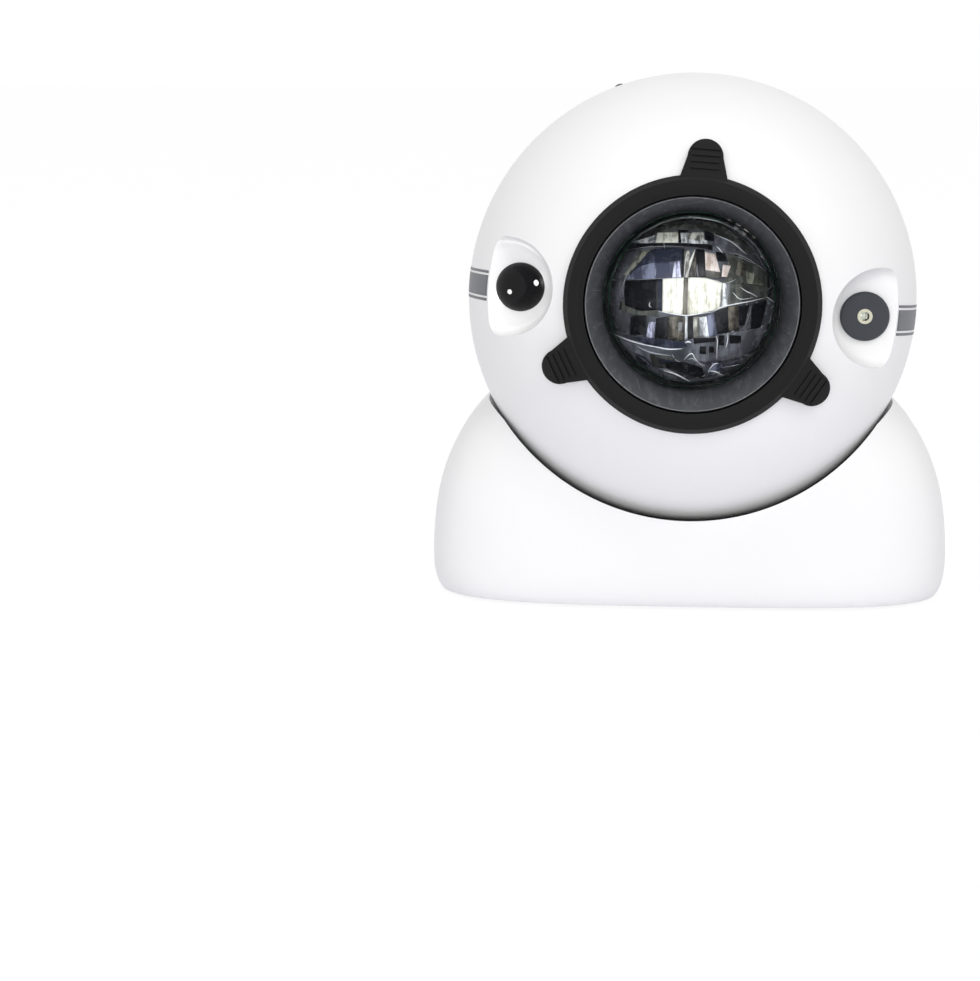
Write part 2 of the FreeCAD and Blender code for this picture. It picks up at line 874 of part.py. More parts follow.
def optics_frame():
    """A stepped tube with lugs at both ends and a seat for the ripple motor."""
    outside = [rod(back_radius, board_top, dims.tube_step, 0, 0),
               rod(tube_radius, dims.tube_step - dims.tube_wall, dims.tube_front)]
    outside += [rod(dims.lug_radius, dims.lug_level, dims.lug_level + dims.lug_height, x, y)
                for x, y in lug_spots]
    outside += [rod(dims.lug_radius, dims.lug_level, dims.lug_level + dims.lug_height, x, y)
                for x, y in around(LUGS, dims.lug_start,
                                   dims.lug_reach - dims.lug_radius * LUG_STEP_SHARE)]
    outside += [rod(dims.back_lug_radius, board_top, board_top + dims.lug_height * 2, x, y)
                for x, y in back_spots]
    seat = rod(dims.motor_radius + dims.tube_wall, motor_top,
               motor_top + dims.motor_plate_height, pinion_x, pinion_y)
    holes = [rod(back_bore, board_top - dims.overrun, dims.tube_step - dims.tube_wall),
             rod(tube_bore, dims.tube_step, dims.tube_front + dims.overrun),
             rod(back_bore, board_top, dims.tube_step + dims.overrun)]
    holes += [rod(dims.screw_radius + dims.seat_gap, dims.lug_level - dims.overrun,
                  dims.lug_level + dims.overrun, x, y) for x, y in lug_spots]
    holes += [rod(dims.screw_radius, board_top - dims.overrun,
                  board_top + dims.lug_height * 2, x, y) for x, y in back_spots]
    holes.append(rod(pinion_pitch + dims.gear_module + dims.moving_gap,
                     dims.gear_level - dims.moving_gap, gear_top + dims.moving_gap,
                     pinion_x, pinion_y))
    holes.append(rod(dims.motor_shaft_radius + dims.moving_gap, motor_top - dims.overrun,
                     dims.gear_level, pinion_x, pinion_y))
    return cut(fuse(outside + [seat]), holes)


def reflector():
    """A polished cup round the emitters, narrow at the board."""
    low = board_top
    high = board_top + dims.reflector_height
    wall = dims.reflector_wall
    half = (dims.reflector_low_radius + dims.reflector_high_radius) / 2
    return turned("reflector_cup", [
        (dims.reflector_low_radius - wall, low),
        (dims.reflector_low_radius, low),
        (half + wall * 2, low + dims.reflector_height / 3),
        (dims.reflector_high_radius, high),
        (dims.reflector_high_radius - wall, high),
        (half + wall, low + dims.reflector_height / 3 + wall),
    ])


def toothed_outline(teeth, module, turn):
    """The outline of a spur wheel with straight-sided teeth."""
    pitch = module * teeth / 2
    rows = [(ROOT_SHARE, -ROOT_HALF_SHARE), (TIP_SHARE, -TIP_HALF_SHARE),
            (TIP_SHARE, TIP_HALF_SHARE), (ROOT_SHARE, ROOT_HALF_SHARE)]
    points = []
    for index in range(teeth):
        for rise, across in rows:
            angle = math.radians(turn) + (index + across) * 2 * math.pi / teeth
            radius = pitch + module * rise
            points.append(Vector(radius * math.cos(angle), radius * math.sin(angle), 0))
    return Part.makePolygon(points + points[:1])


def wheel(label, teeth, turn, low, high, hub_low, hub_high, hub_radius, bore, x=0, y=0):
    """A toothed wheel with a hub; its shape is worked out from the sheet's values."""
    face = Part.Face(toothed_outline(teeth, float(dims.gear_module), turn))
    solid = face.extrude(Vector(0, 0, float(high) - float(low)))
    solid.translate(Vector(0, 0, float(low)))
    hub = Part.makeCylinder(float(hub_radius), float(hub_high) - float(hub_low),
                            Vector(0, 0, float(hub_low)))
    hole = Part.makeCylinder(float(bore), float(hub_high) - float(hub_low)
                             + 2 * float(dims.overrun),
                             Vector(0, 0, float(hub_low) - float(dims.overrun)))
    solid = solid.fuse(hub).cut(hole).removeSplitter()
    item = doc.addObject("Part::Feature", label + "_wheel")
    item.Shape = solid
    return group_of([moved(item, x, y)], label)


def heat_sink():
    """An aluminium plate with upright fins behind it."""
    low = dims.board_level - dims.sink_plate
    fins = []
    count = int(float(dims.sink_radius) / float(dims.fin_pitch))
    for step in range(-count, count + 1):
        fins.append(block(dims.fin_width, dims.sink_radius * 2, low - dims.fin_height,
                          dims.board_level - dims.sink_plate / 2, step * dims.fin_pitch, 0))
    plate = rod(dims.sink_radius, low, dims.board_level)
    lugs = [rod(dims.back_lug_radius, low, dims.board_level, x, y) for x, y in back_spots]
    body = common([fuse([plate] + fins), rod(dims.sink_radius, low - dims.fin_height,
                                             dims.board_level)])
    holes = [rod(dims.screw_radius + dims.seat_gap, low - dims.overrun,
                 dims.board_level + dims.overrun, x, y) for x, y in back_spots]
    holes += [rod(dims.screw_head_radius + dims.seat_gap, low - dims.fin_height - dims.overrun,
                  low, x, y) for x, y in back_spots]
    holes.append(rod(dims.spindle_radius, low, dims.board_level + dims.overrun))
    return cut(fuse([body] + lugs), holes)


def led_board():
    disc = [rod(dims.sink_radius, dims.board_level, board_top)]
    disc += [rod(dims.back_lug_radius, dims.board_level, board_top, x, y)
             for x, y in back_spots]
    holes = [rod(dims.screw_radius + dims.seat_gap, dims.board_level - dims.overrun,
                 board_top + dims.overrun, x, y) for x, y in back_spots]
    holes.append(rod(dims.spindle_radius, dims.board_level - dims.overrun,
                     board_top + dims.overrun))
    return cut(fuse(disc), holes)


def led_emitters():
    return group_of([block(dims.emitter_size, dims.emitter_size, board_top,
                           board_top + dims.emitter_height, x, y)
                     for x, y in around(EMITTERS, as_size(0), dims.emitter_reach)],
                    "emitters")


hub_low = dims.gear_level - (dims.hub_height - dims.gear_thickness) / 2
hub_high = hub_low + dims.hub_height


def spindle():
    """The fixed pin on which the ripple disc turns, with a collar under the hub."""
    low = dims.board_level - dims.sink_plate
    return turned("spindle_pin", [
        (0, low),
        (dims.spindle_radius, low),
        (dims.spindle_radius, board_top),
        (dims.hub_radius, board_top),
        (dims.hub_radius, board_top + dims.emitter_height),
        (dims.spindle_radius * 2 - dims.seat_gap, board_top + dims.emitter_height * 2),
        (dims.spindle_radius * 2 - dims.seat_gap, hub_low - dims.seat_gap),
        (dims.spindle_radius, hub_low - dims.seat_gap),
        (dims.spindle_radius, dims.spindle_front),
        (0, dims.spindle_front),
    ])


def spindle_clip():
    low = hub_high + dims.seat_gap
    return ring(dims.spindle_radius, dims.clip_radius, low, low + dims.clip_height)


def ripple_motor():
    can = rod(dims.motor_radius, motor_top - dims.motor_length, motor_top, pinion_x, pinion_y)
    shaft = rod(dims.motor_shaft_radius, motor_top, gear_top + dims.moving_gap,
                pinion_x, pinion_y)
    return fuse([can, shaft])


keep(optics_frame(), "optics_frame", head_frame)
keep(group_of([screw(dims.lug_height + dims.lug_height, dims.lug_level, x, y)
               for x, y in lug_spots], "frame_screw_set"), "frame_screws", head_frame)
keep(heat_sink(), "heat_sink", head_frame)
keep(led_board(), "led_board", head_frame)
keep(led_emitters(), "led_emitters", head_frame)
keep(reflector(), "reflector", head_frame)
keep(group_of([screw(dims.sink_plate + dims.board_thickness + dims.lug_height,
                     dims.board_level - dims.sink_plate, x, y)
               for x, y in back_spots], "sink_screw_set"), "sink_screws", head_frame)
keep(spindle(), "spindle", head_frame)
keep(spindle_clip(), "spindle_clip", head_frame)
keep(wheel("ripple_disc", int(dims.gear_teeth.value), dims.pinion_angle.value, dims.gear_level,
           gear_top, hub_low, hub_high, dims.hub_radius,
           dims.spindle_radius + dims.running_gap), "ripple_disc", head_frame)
pinion_turn = dims.pinion_angle.value + TURN / 2 + TURN / dims.pinion_teeth.value / 2
keep(wheel("motor_pinion", int(dims.pinion_teeth.value), pinion_turn,
           dims.gear_level, gear_top, dims.gear_level, gear_top, dims.hub_radius,
           dims.motor_shaft_radius + dims.running_gap, pinion_x, pinion_y),
     "motor_pinion", head_frame)
keep(ripple_motor(), "ripple_motor", head_frame)

# Right eye: laser, grating and its motor. Left eye: the infrared receiver


def laser_bezel():
    """The slate disc of the right eye with a round seat for the aperture."""
    top = dims.well_floor + dims.eye_disc_height
    edge = dims.eye_disc_height / 4
    return moved(turned("bezel_disc", [
        (dims.aperture_inner, dims.well_floor - dims.eye_skirt),
        (dims.eye_hole_radius - dims.seat_gap, dims.well_floor - dims.eye_skirt),
        (dims.eye_hole_radius - dims.seat_gap, dims.well_floor),
        (dims.eye_radius, dims.well_floor),
        (dims.eye_radius, top - edge),
        (dims.eye_radius - edge, top),
        (dims.aperture_outer, top),
        (dims.aperture_outer, top - dims.aperture_height),
        (dims.aperture_inner, top - dims.aperture_height),
    ]), dims.eye_offset)


def aperture_ring():
    top = dims.well_floor + dims.eye_disc_height
    return ring(dims.aperture_inner, dims.aperture_outer, top - dims.aperture_height,
                top + dims.aperture_height / 2, dims.eye_offset)


def receiver_dome():
    """The glossy dark dome of the left eye, hollow over the sensor."""
    rise = dims.dome_height
    radius = (dims.eye_radius * dims.eye_radius + rise * rise) / (rise * 2)
    cap = common([ball(radius), rod(dims.eye_radius, radius - rise, radius)])
    lifted = moved(cap, -dims.eye_offset, 0, dims.well_floor - radius + rise)
    skirt = rod(dims.eye_hole_radius - dims.seat_gap, dims.well_floor - dims.eye_skirt,
                dims.well_floor, -dims.eye_offset)
    bore = rod(dims.eye_hole_radius - dims.shell_wall / 2, dims.well_floor - dims.overrun,
               dims.well_floor + dims.seat_gap, -dims.eye_offset)
    return cut(fuse([lifted, skirt]), [bore])


def grating_disc():
    """The clear disc with the star grating, pressed on the star motor's shaft."""
    hub_low = dims.star_motor_front + dims.moving_gap
    hub_top = dims.grating_level + dims.grating_thickness
    return moved(turned("grating_wheel", [
        (dims.star_shaft_radius + dims.running_gap, hub_low),
        (dims.grating_hub_radius, hub_low),
        (dims.grating_hub_radius, dims.grating_level),
        (dims.grating_radius, dims.grating_level),
        (dims.grating_radius, hub_top),
        (dims.star_shaft_radius + dims.running_gap, hub_top),
    ]), dims.star_motor_x, dims.star_motor_y)


def star_motor():
    can = rod(dims.star_motor_radius, dims.star_motor_back, dims.star_motor_front,
              dims.star_motor_x, dims.star_motor_y)
    shaft = rod(dims.star_shaft_radius, dims.star_motor_front,
                dims.grating_level + dims.grating_thickness,
                dims.star_motor_x, dims.star_motor_y)
    return fuse([can, shaft])


def laser_module():
    step = dims.laser_radius / 4
    return moved(turned("laser_barrel", [
        (0, dims.laser_back),
        (dims.laser_radius, dims.laser_back),
        (dims.laser_radius, dims.laser_front - step),
        (dims.laser_radius - step, dims.laser_front),
        (dims.aperture_inner, dims.laser_front),
        (dims.aperture_inner, dims.laser_front - step),
        (0, dims.laser_front - step),
    ]), dims.eye_offset)


def laser_holder():
    """The plate that clamps the laser and the star motor, on two posts."""
    rim = dims.holder_rim
    plate = padded("holder_plate", [
        (dims.lower_post_x - rim, dims.lower_post_y - rim),
        (dims.lower_post_x + rim, dims.lower_post_y - rim),
        (dims.eye_offset + dims.laser_radius + rim / 2, -dims.laser_radius),
        (dims.upper_post_x + rim, dims.upper_post_y - rim),
        (dims.upper_post_x + rim, dims.upper_post_y + rim),
        (dims.upper_post_x - rim, dims.upper_post_y + rim),
        (dims.lower_post_x - rim, dims.star_motor_y + rim),
    ], dims.holder_level, holder_top)
    holes = [rod(dims.laser_radius, dims.holder_level - dims.overrun,
                 holder_top + dims.overrun, dims.eye_offset),
             rod(dims.star_motor_radius, dims.holder_level - dims.overrun,
                 holder_top + dims.overrun, dims.star_motor_x, dims.star_motor_y)]
    holes += [rod(dims.screw_radius + dims.seat_gap, dims.holder_level - dims.overrun,
                  holder_top + dims.overrun, x, y) for x, y in holder_spots]
    return cut(plate, holes)


def receiver_board():
    low = receiver_floor - dims.receiver_post_length - dims.receiver_board_height
    return block(dims.receiver_board_size / 2, dims.receiver_board_size, low,
                 low + dims.receiver_board_height, -dims.eye_offset, 0)


def infrared_sensor():
    low = receiver_floor - dims.receiver_post_length
    body = block(dims.sensor_size, dims.sensor_size, low, low + dims.sensor_height,
                 -dims.eye_offset, 0)
    return body


keep(group_of([laser_bezel()], "eye_disc"), "laser_bezel", head_frame)
keep(aperture_ring(), "aperture_ring", head_frame)
keep(group_of([laser_module()], "laser"), "laser_module", head_frame)
keep(laser_holder(), "laser_holder", head_frame)
keep(group_of([screw(dims.holder_height * 2, dims.holder_level, x, y)
               for x, y in holder_spots], "holder_screw_set"), "holder_screws", head_frame)
keep(star_motor(), "star_motor", head_frame)
keep(group_of([grating_disc()], "grating"), "grating_disc", head_frame)
keep(receiver_dome(), "receiver_dome", head_frame)
keep(group_of([receiver_board()], "receiver_card"), "receiver_board", head_frame)
keep(group_of([infrared_sensor()], "sensor"), "infrared_sensor", head_frame)

# Main board, supply socket, shell screws and the steel keeper

main_back = -dims.main_board_level - dims.main_board_thickness


def main_board():
    holes = [rod(dims.screw_radius + dims.seat_gap, main_back - dims.overrun,
                 dims.overrun - dims.main_board_level, x, y) for x, y in main_spots]
    return cut(rod(dims.main_board_radius, main_back, -dims.main_board_level), holes)


def board_chips():
    """A driver chip and two capacitors on the main board's front."""
    low = -dims.main_board_level
    chip = block(dims.chip_size, dims.chip_size, low, low + dims.chip_height, 0, 0)
    caps = [rod(dims.chip_size / 3, low, low + dims.chip_size, side * dims.chip_size,
                dims.chip_size) for side in (1, -1)]
    return group_of([chip] + caps, "parts_on_board")


def usb_socket():
    """A reversible supply socket: an oval metal mouth round a flat tongue."""
    half = (dims.socket_width - dims.socket_depth) / 2
    drop = -dims.socket_drop

    def oval(wall, low, high):
        radius = dims.socket_depth / 2 - wall
        return fuse([rod(radius, low, high, side * half, drop) for side in (1, -1)]
                    + [block(half * 2, radius * 2, low, high, 0, drop)])

    shell = oval(0, -dims.socket_mouth, main_back)
    mouth = oval(dims.socket_wall, -dims.socket_mouth - dims.overrun,
                 dims.tongue_length + dims.socket_wall - dims.socket_mouth)
    tongue = block(dims.tongue_width, dims.tongue_depth, dims.socket_wall * 2
                   - dims.socket_mouth, dims.tongue_length + dims.socket_wall * 2
                   - dims.socket_mouth, 0, drop)
    return fuse([cut(shell, [mouth]), tongue])


def keeper_plate():
    """The steel cap inside the ball's lowest point, which the magnet holds."""
    outer = inner_radius - dims.seat_gap
    skin = cut(ball(outer), [ball(outer - dims.keeper_thickness)])
    return common([rod(dims.keeper_radius, dims.ball_radius / 2, dims.ball_radius), skin])


keep(main_board(), "main_board", head_frame)
keep(board_chips(), "board_components", head_frame)
keep(group_of([screw(dims.main_board_thickness + dims.lug_height, -dims.main_board_level,
                     x, y, -1) for x, y in main_spots], "board_screw_set"),
     "board_screws", head_frame)
keep(usb_socket(), "usb_socket", head_frame)
keep(group_of([screw(dims.joint_screw_length, -dims.joint_seat_depth, x, y)
               for x, y in joint_spots], "shell_screw_set"), "shell_screws", head_frame)
keep(keeper_plate(), "keeper_plate", head_frame, down_frame)

# Base shell: a wide rounded form hollowed for the ball and cut clear in front

post_spots = [(side * dims.base_post_x, dims.base_centre + way * dims.base_post_y)
              for side in (1, -1) for way in (1, -1)]
LEVEL_SHARES = [0, 0.12, 0.3, 0.45, 0.58, 0.7, 0.79, 0.84]


def crown_share(height):
    """How far the base has drawn in at a height, from 1 at its widest."""
    rise = float(dims.base_rise)
    if height <= rise:
        return 1
    power = float(dims.crown_power_share)
    return (1 - ((height - rise) / float(dims.base_crown)) ** power) ** (1 / power)


def tuck(height):
    """How far the lowest band draws in under the widest level."""
    rise = float(dims.base_rise)
    if height >= rise:
        return 0
    depth = (rise - height) / (rise - float(dims.base_bottom))
    return float(dims.bottom_tuck) * depth ** float(dims.crown_power_share)


def footprint(half_width, half_depth, height):
    """A rounded rectangle whose corners flow into its sides."""
    power = 2 / float(dims.base_power_share)
    points = []
    for index in range(OUTLINE_POINTS):
        angle = 2 * math.pi * index / OUTLINE_POINTS
        across, along = math.cos(angle), math.sin(angle)
        points.append(Vector(
            math.copysign(abs(across) ** power, across) * half_width,
            math.copysign(abs(along) ** power, along) * half_depth + float(dims.base_centre),
            height))
    curve = Part.BSplineCurve()
    curve.interpolate(Points=points, PeriodicFlag=True)
    return Part.Wire(curve.toShape())


def rounded_form(inset, lift):
    """The base's outer form, drawn in by a wall's thickness and let down by a lift."""
    rise, crown = float(dims.base_rise), float(dims.base_crown)
    bottom = float(dims.base_bottom)
    levels = [bottom, bottom + (rise - bottom) / 3]
    levels += [rise + share * crown for share in LEVEL_SHARES]
    sections = []
    for level in levels:
        share = crown_share(level)
        width = float(dims.base_half_width) * share - tuck(level) - inset
        depth = float(dims.base_half_depth) * share - tuck(level) - inset
        sections.append(footprint(width, depth, level - lift))
    return Part.makeLoft(sections, True, False, False)


def cup_tool(extra):
    """The ball's cup and the clearance in front of it, grown by an extra wall."""
    centre = Vector(0, 0, float(dims.ball_height))
    radius = float(dims.ball_radius)
    cup = Part.makeSphere(radius + float(dims.cup_gap) + extra, centre)
    slope = math.radians(float(dims.bite_slope))
    sight = Vector(0, -math.cos(slope), math.sin(slope))
    mouth = radius + float(dims.bite_gap) + extra
    length = radius * 2
    narrowed = mouth - length * math.tan(math.radians(float(dims.bite_taper)))
    bite = Part.makeCone(mouth, narrowed, length, centre, sight)
    return cup.fuse(bite)


def upright(radius, low, high, x=0, y=0):
    return Part.makeCylinder(float(radius), float(high) - float(low),
                             Vector(float(as_size(x)), float(as_size(y)), float(low)))


def base_shell():
    wall = float(dims.base_wall)
    block_form = rounded_form(0, 0).cut(cup_tool(0))
    recess_wall = upright(dims.dish_radius + dims.moving_gap + dims.base_wall,
                          dims.dish_floor - dims.base_wall, dims.ball_height)
    boss = upright(dims.pivot_boss_radius, dims.pivot_boss_bottom, dims.ball_height)
    posts = [upright(dims.base_post_radius, dims.plate_top, dims.ball_height, x, y)
             for x, y in post_spots]
    hollow = rounded_form(wall, wall).cut(cup_tool(wall)).cut([recess_wall, boss] + posts)
    mouth = rounded_form(wall, float(dims.base_bottom) + float(dims.overrun))
    mouth = mouth.common(Part.makeBox(
        float(dims.base_half_width) * 2, float(dims.base_half_width) * 2,
        float(dims.plate_top) + float(dims.overrun),
        Vector(-float(dims.base_half_width), -float(dims.base_half_width),
               -float(dims.overrun))))
    tools = [hollow, mouth]
    tools.append(upright(dims.dish_radius + dims.moving_gap, dims.dish_floor,
                         dims.ball_height))
    tools.append(upright(dims.pivot_radius, -dims.overrun, dims.ball_height))
    tools += [upright(dims.screw_radius, 0, dims.plate_top + dims.base_screw_length, x, y)
              for x, y in post_spots]
    shape = block_form.cut(tools)
    item = doc.addObject("Part::Feature", "base_casing")
    item.Shape = shape
    return item


def rest_pad_form():
    face = Part.Face(footprint(float(dims.pad_half_width), float(dims.pad_half_depth), 0))
    return face.extrude(Vector(0, 0, float(dims.plate_level + dims.pad_sink)))


def base_plate():
    """The flat cover that closes the base, held by four screws."""
    low, top = float(dims.plate_level), float(dims.plate_top)
    inset = float(dims.base_wall) + float(dims.plate_gap)
    width = float(dims.base_half_width) - tuck(low) - inset
    depth = float(dims.base_half_depth) - tuck(low) - inset
    face = Part.Face(footprint(width, depth, low))
    solid = face.extrude(Vector(0, 0, top - low))
    tools = [upright(dims.screw_radius + dims.seat_gap, 0, dims.ball_height, x, y)
             for x, y in post_spots]
    tools += [upright(dims.screw_head_radius + dims.seat_gap, 0,
                      dims.plate_level + dims.plate_height / 2, x, y) for x, y in post_spots]
    tools.append(rest_pad_form())
    item = doc.addObject("Part::Feature", "base_cover")
    item.Shape = solid.cut(tools)
    return item


def rest_pad():
    """The non-slip rubber sheet on which the base stands."""
    item = doc.addObject("Part::Feature", "rest_sheet")
    item.Shape = rest_pad_form()
    return item


def ballast():
    """The steel weight on the base's cover, under the cup."""
    return cut(block(dims.ballast_width, dims.ballast_depth, dims.plate_top,
                     dims.ballast_top, 0, dims.base_centre),
               [rod(dims.ballast_hole_radius, dims.plate_top - dims.overrun,
                    dims.ballast_top + dims.overrun)])


keep(base_shell(), "base_shell")
keep(base_plate(), "base_plate")
keep(rest_pad(), "rubber_pad")
keep(ballast(), "ballast")
keep(group_of([screw(dims.base_screw_length, dims.plate_level + dims.plate_height / 2, x, y)
               for x, y in post_spots], "base_screw_set"), "base_screws")

# Swivel dish under the ball: it turns on a pivot screw and carries the magnet


def dish_sphere(gap):
    return moved(ball(dims.ball_radius + gap), 0, 0, dims.ball_height)


def swivel_dish():
    low = dims.dish_floor + dims.seat_gap
    magnet_top = low + dims.magnet_height + dims.moving_gap
    tools = [
        dish_sphere(dims.dish_gap),
        rod(dims.pivot_radius + dims.running_gap, 0, dims.ball_height),
        rod(dims.pivot_head_radius + dims.moving_gap, dims.pivot_shoulder - dims.seat_gap,
            dims.ball_height),
        ring(dims.magnet_inner - dims.seat_gap, dims.magnet_outer + dims.seat_gap,
             low - dims.overrun, magnet_top),
        ring(dims.pad_inner, dims.pad_outer, dims.pad_floor, dims.ball_height),
    ]
    return cut(rod(dims.dish_radius, low, dims.ball_height / 2), tools)


def dish_pad():
    return cut(ring(dims.pad_inner, dims.pad_outer, dims.pad_floor, dims.ball_height / 2),
               [dish_sphere(dims.pad_gap)])


def magnet():
    top = dims.dish_floor + dims.seat_gap + dims.magnet_height + dims.moving_gap
    return ring(dims.magnet_inner, dims.magnet_outer, top - dims.magnet_height, top)


def pivot_screw():
    shank = rod(dims.pivot_radius, dims.pivot_bottom, dims.pivot_shoulder)
    head = rod(dims.pivot_head_radius, dims.pivot_shoulder,
               dims.pivot_shoulder + dims.pivot_head_height)
    return fuse([shank, head])


keep(swivel_dish(), "swivel_dish")
keep(dish_pad(), "dish_pad")
keep(magnet(), "magnet_ring")
keep(pivot_screw(), "pivot_screw")

# Checks and export

doc.recompute()
for item in doc.Objects:
    if "Invalid" in item.State or "Error" in item.State:
        raise RuntimeError(f"{item.Label} ({item.Name}) did not build: {item.State}")
for item in nodes:
    shape = item.Shape
    if shape.isNull() or not shape.isValid() or not shape.Solids:
        raise RuntimeError(f"{item.Label} has no valid solid")
os.makedirs("parts", exist_ok=True)
for item in nodes:
    item.Shape.exportStep(f"parts/{item.Label}.step")
    solids = item.Shape.Solids
    print(f"{item.Label}: {len(solids)} solids, {sum(part.Volume for part in solids):.0f} mm3")
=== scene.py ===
import json
import math

import bpy
from bpy.props import FloatProperty, FloatVectorProperty, IntProperty, PointerProperty
from mathutils import Matrix, Vector


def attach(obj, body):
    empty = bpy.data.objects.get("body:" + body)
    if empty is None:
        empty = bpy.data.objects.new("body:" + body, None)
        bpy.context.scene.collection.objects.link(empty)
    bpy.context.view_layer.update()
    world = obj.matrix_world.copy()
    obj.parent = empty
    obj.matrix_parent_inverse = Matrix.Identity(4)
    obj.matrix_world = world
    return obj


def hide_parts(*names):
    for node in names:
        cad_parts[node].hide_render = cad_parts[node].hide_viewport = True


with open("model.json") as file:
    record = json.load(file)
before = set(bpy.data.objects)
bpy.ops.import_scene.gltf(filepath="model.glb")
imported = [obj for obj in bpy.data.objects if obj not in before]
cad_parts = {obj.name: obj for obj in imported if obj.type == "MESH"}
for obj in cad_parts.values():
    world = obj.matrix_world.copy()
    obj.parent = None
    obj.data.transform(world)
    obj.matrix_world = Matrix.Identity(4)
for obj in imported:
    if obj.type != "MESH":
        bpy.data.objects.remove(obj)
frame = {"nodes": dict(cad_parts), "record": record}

bl_info = {
    "name": "Planetarium Projector",
    "version": (1, 0, 0),
    "blender": (4, 5, 0),
    "location": "View3D > Sidebar > Projector",
    "description": "Dresses the packed model of a ball-shaped planetarium projector",
    "category": "Object",
}

# The head's own frame: X right, Y up, Z along the lens axis, from the ball's centre

JOINTS = {joint["name"]: joint for joint in frame["record"]["behaviour"]["joints"]}
BALL_CENTRE = Vector(JOINTS["head_tilt"]["pos_m"])
LENS_AXIS = Vector(JOINTS["barrel_travel"]["axis"])
TILT = math.asin(LENS_AXIS.z)
ROLL = math.radians(4.4)
UPRIGHT = Matrix.Translation(BALL_CENTRE) @ Matrix.Rotation(math.pi / 2 - TILT, 4, "X")
HEAD = UPRIGHT @ Matrix.Rotation(-ROLL, 4, "Z")
MM = 0.001
DOME_HEIGHT = BALL_CENTRE.z + LENS_AXIS.z * 0.05

# Sizes of the lens, the eyes and the label bands, in millimetres in that frame

BALL_RADIUS = 70
BARREL_RADIUS = 31.3
BARREL_BACK = 23.6
BEZEL_FRONT = 62.0
BEZEL_MOUTH = 30.9
BEZEL_BACK = 29.4
BEZEL_THROAT = 27.1
BEZEL_LIP = 0.35
FUNNEL_HIDDEN = 1.2
STREAK_WIDTH = 0.36
DOME_CENTRE = 25.2
DOME_RADIUS = 26.7
DOME_WALL = 0.6
FACET_BACK = 25.0
FACET_STEP = 0.05
FOLD_RADIUS = 25.8
EYE_X = 52
EYE_RADIUS = 7.4
EYE_HOLE = 5.2
EYE_SKIRT = 3.4
EYE_EDGE = 0.25
EYE_DOME_HEIGHT = 4.6
WELL_FLOOR = 33
BAND_MIDDLE = -0.5
BAND_HALF_HEIGHT = 3.15
BAND_LINE_PLACE = 4.2
BAND_LINE_HALF = 0.4
BAND_FROM = 1.5
BAND_TO = 27.4
BAND_HEIGHT = 0.06


# Modelling helpers

def deselect():
    if bpy.context.object and bpy.context.object.mode == "EDIT":
        bpy.ops.object.mode_set(mode="OBJECT")
    bpy.ops.object.select_all(action="DESELECT")


def only(piece):
    """Makes one piece the only selected one."""
    deselect()
    piece.select_set(True)
    bpy.context.view_layer.objects.active = piece
    return piece


def finish(piece, body, slot, material, *nodes):
    """Rides a finished piece on its body, with its material and nodes; its slot is not used."""
    piece.data.materials.clear()
    piece.data.materials.append(material)
    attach(piece, body)
    if nodes:
        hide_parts(*nodes)
    return piece


def placed(piece, frame_matrix, name):
    """Puts a piece that was modelled in millimetres in its place, at its real size."""
    only(piece)
    piece.name = name
    piece.matrix_world = frame_matrix @ Matrix.Scale(MM, 4)
    bpy.ops.object.transform_apply(location=True, rotation=True, scale=True)
    return piece


def new_piece(add, **settings):
    """Adds a primitive and opens it in edit mode with all of it selected."""
    deselect()
    add(**settings)
    bpy.ops.object.mode_set(mode="EDIT")
    bpy.ops.mesh.select_all(action="SELECT")
    return bpy.context.object


def closed_up(angle=None):
    """Joins doubled points, points the faces outwards and leaves edit mode."""
    bpy.ops.mesh.select_all(action="SELECT")
    bpy.ops.mesh.remove_doubles(threshold=0.001)
    bpy.ops.mesh.normals_make_consistent(inside=False)
    bpy.ops.object.mode_set(mode="OBJECT")
    if angle:
        bpy.ops.object.shade_smooth_by_angle(angle=math.radians(angle))


def turned(profile, steps=144):
    """A closed ring: a circle extruded round the points of its profile."""
    radius, height = profile[0]
    piece = new_piece(bpy.ops.mesh.primitive_circle_add, vertices=steps, radius=radius)
    bpy.ops.transform.translate(value=(0, 0, height))
    for next_radius, next_height in profile[1:] + profile[:1]:
        bpy.ops.mesh.extrude_region_move(
            TRANSFORM_OT_translate={"value": (0, 0, next_height - height)})
        share = next_radius / radius
        bpy.ops.transform.resize(value=(share, share, 1), center_override=(0, 0, 0))
        radius, height = next_radius, next_height
    closed_up(40)
    return piece


def cap(radius, centre, cut_height, segments=144):
    """The part of a sphere above a height, open below and still in edit mode."""
    piece = new_piece(bpy.ops.mesh.primitive_uv_sphere_add, segments=segments,
                      ring_count=segments // 2, radius=radius, location=(0, 0, centre))
    bpy.ops.object.mode_set(mode="OBJECT")
    bpy.ops.object.transform_apply(location=True)
    bpy.ops.object.mode_set(mode="EDIT")
    bpy.ops.mesh.select_all(action="SELECT")
    bpy.ops.mesh.bisect(plane_co=(0, 0, cut_height), plane_no=(0, 0, 1), clear_inner=True)
    return piece


def widened_rim(radius, new_radius, drop, centre=(0, 0, 0)):
    """Extrudes the selected open rim down and to another radius."""
    bpy.ops.mesh.extrude_region_move(TRANSFORM_OT_translate={"value": (0, 0, -drop)})
    share = new_radius / radius
    bpy.ops.transform.resize(value=(share, share, 1), center_override=centre)


def open_rim():
    """Selects the open edge of the piece that is in edit mode."""
    bpy.ops.mesh.select_all(action="SELECT")
    bpy.ops.mesh.region_to_loop()


def walled(piece, thickness, offset):
    """Gives a surface its thickness."""
    only(piece)
    wall = piece.modifiers.new("wall", "SOLIDIFY")
    wall.thickness = thickness
    wall.offset = offset
    bpy.ops.object.modifier_apply(modifier=wall.name)


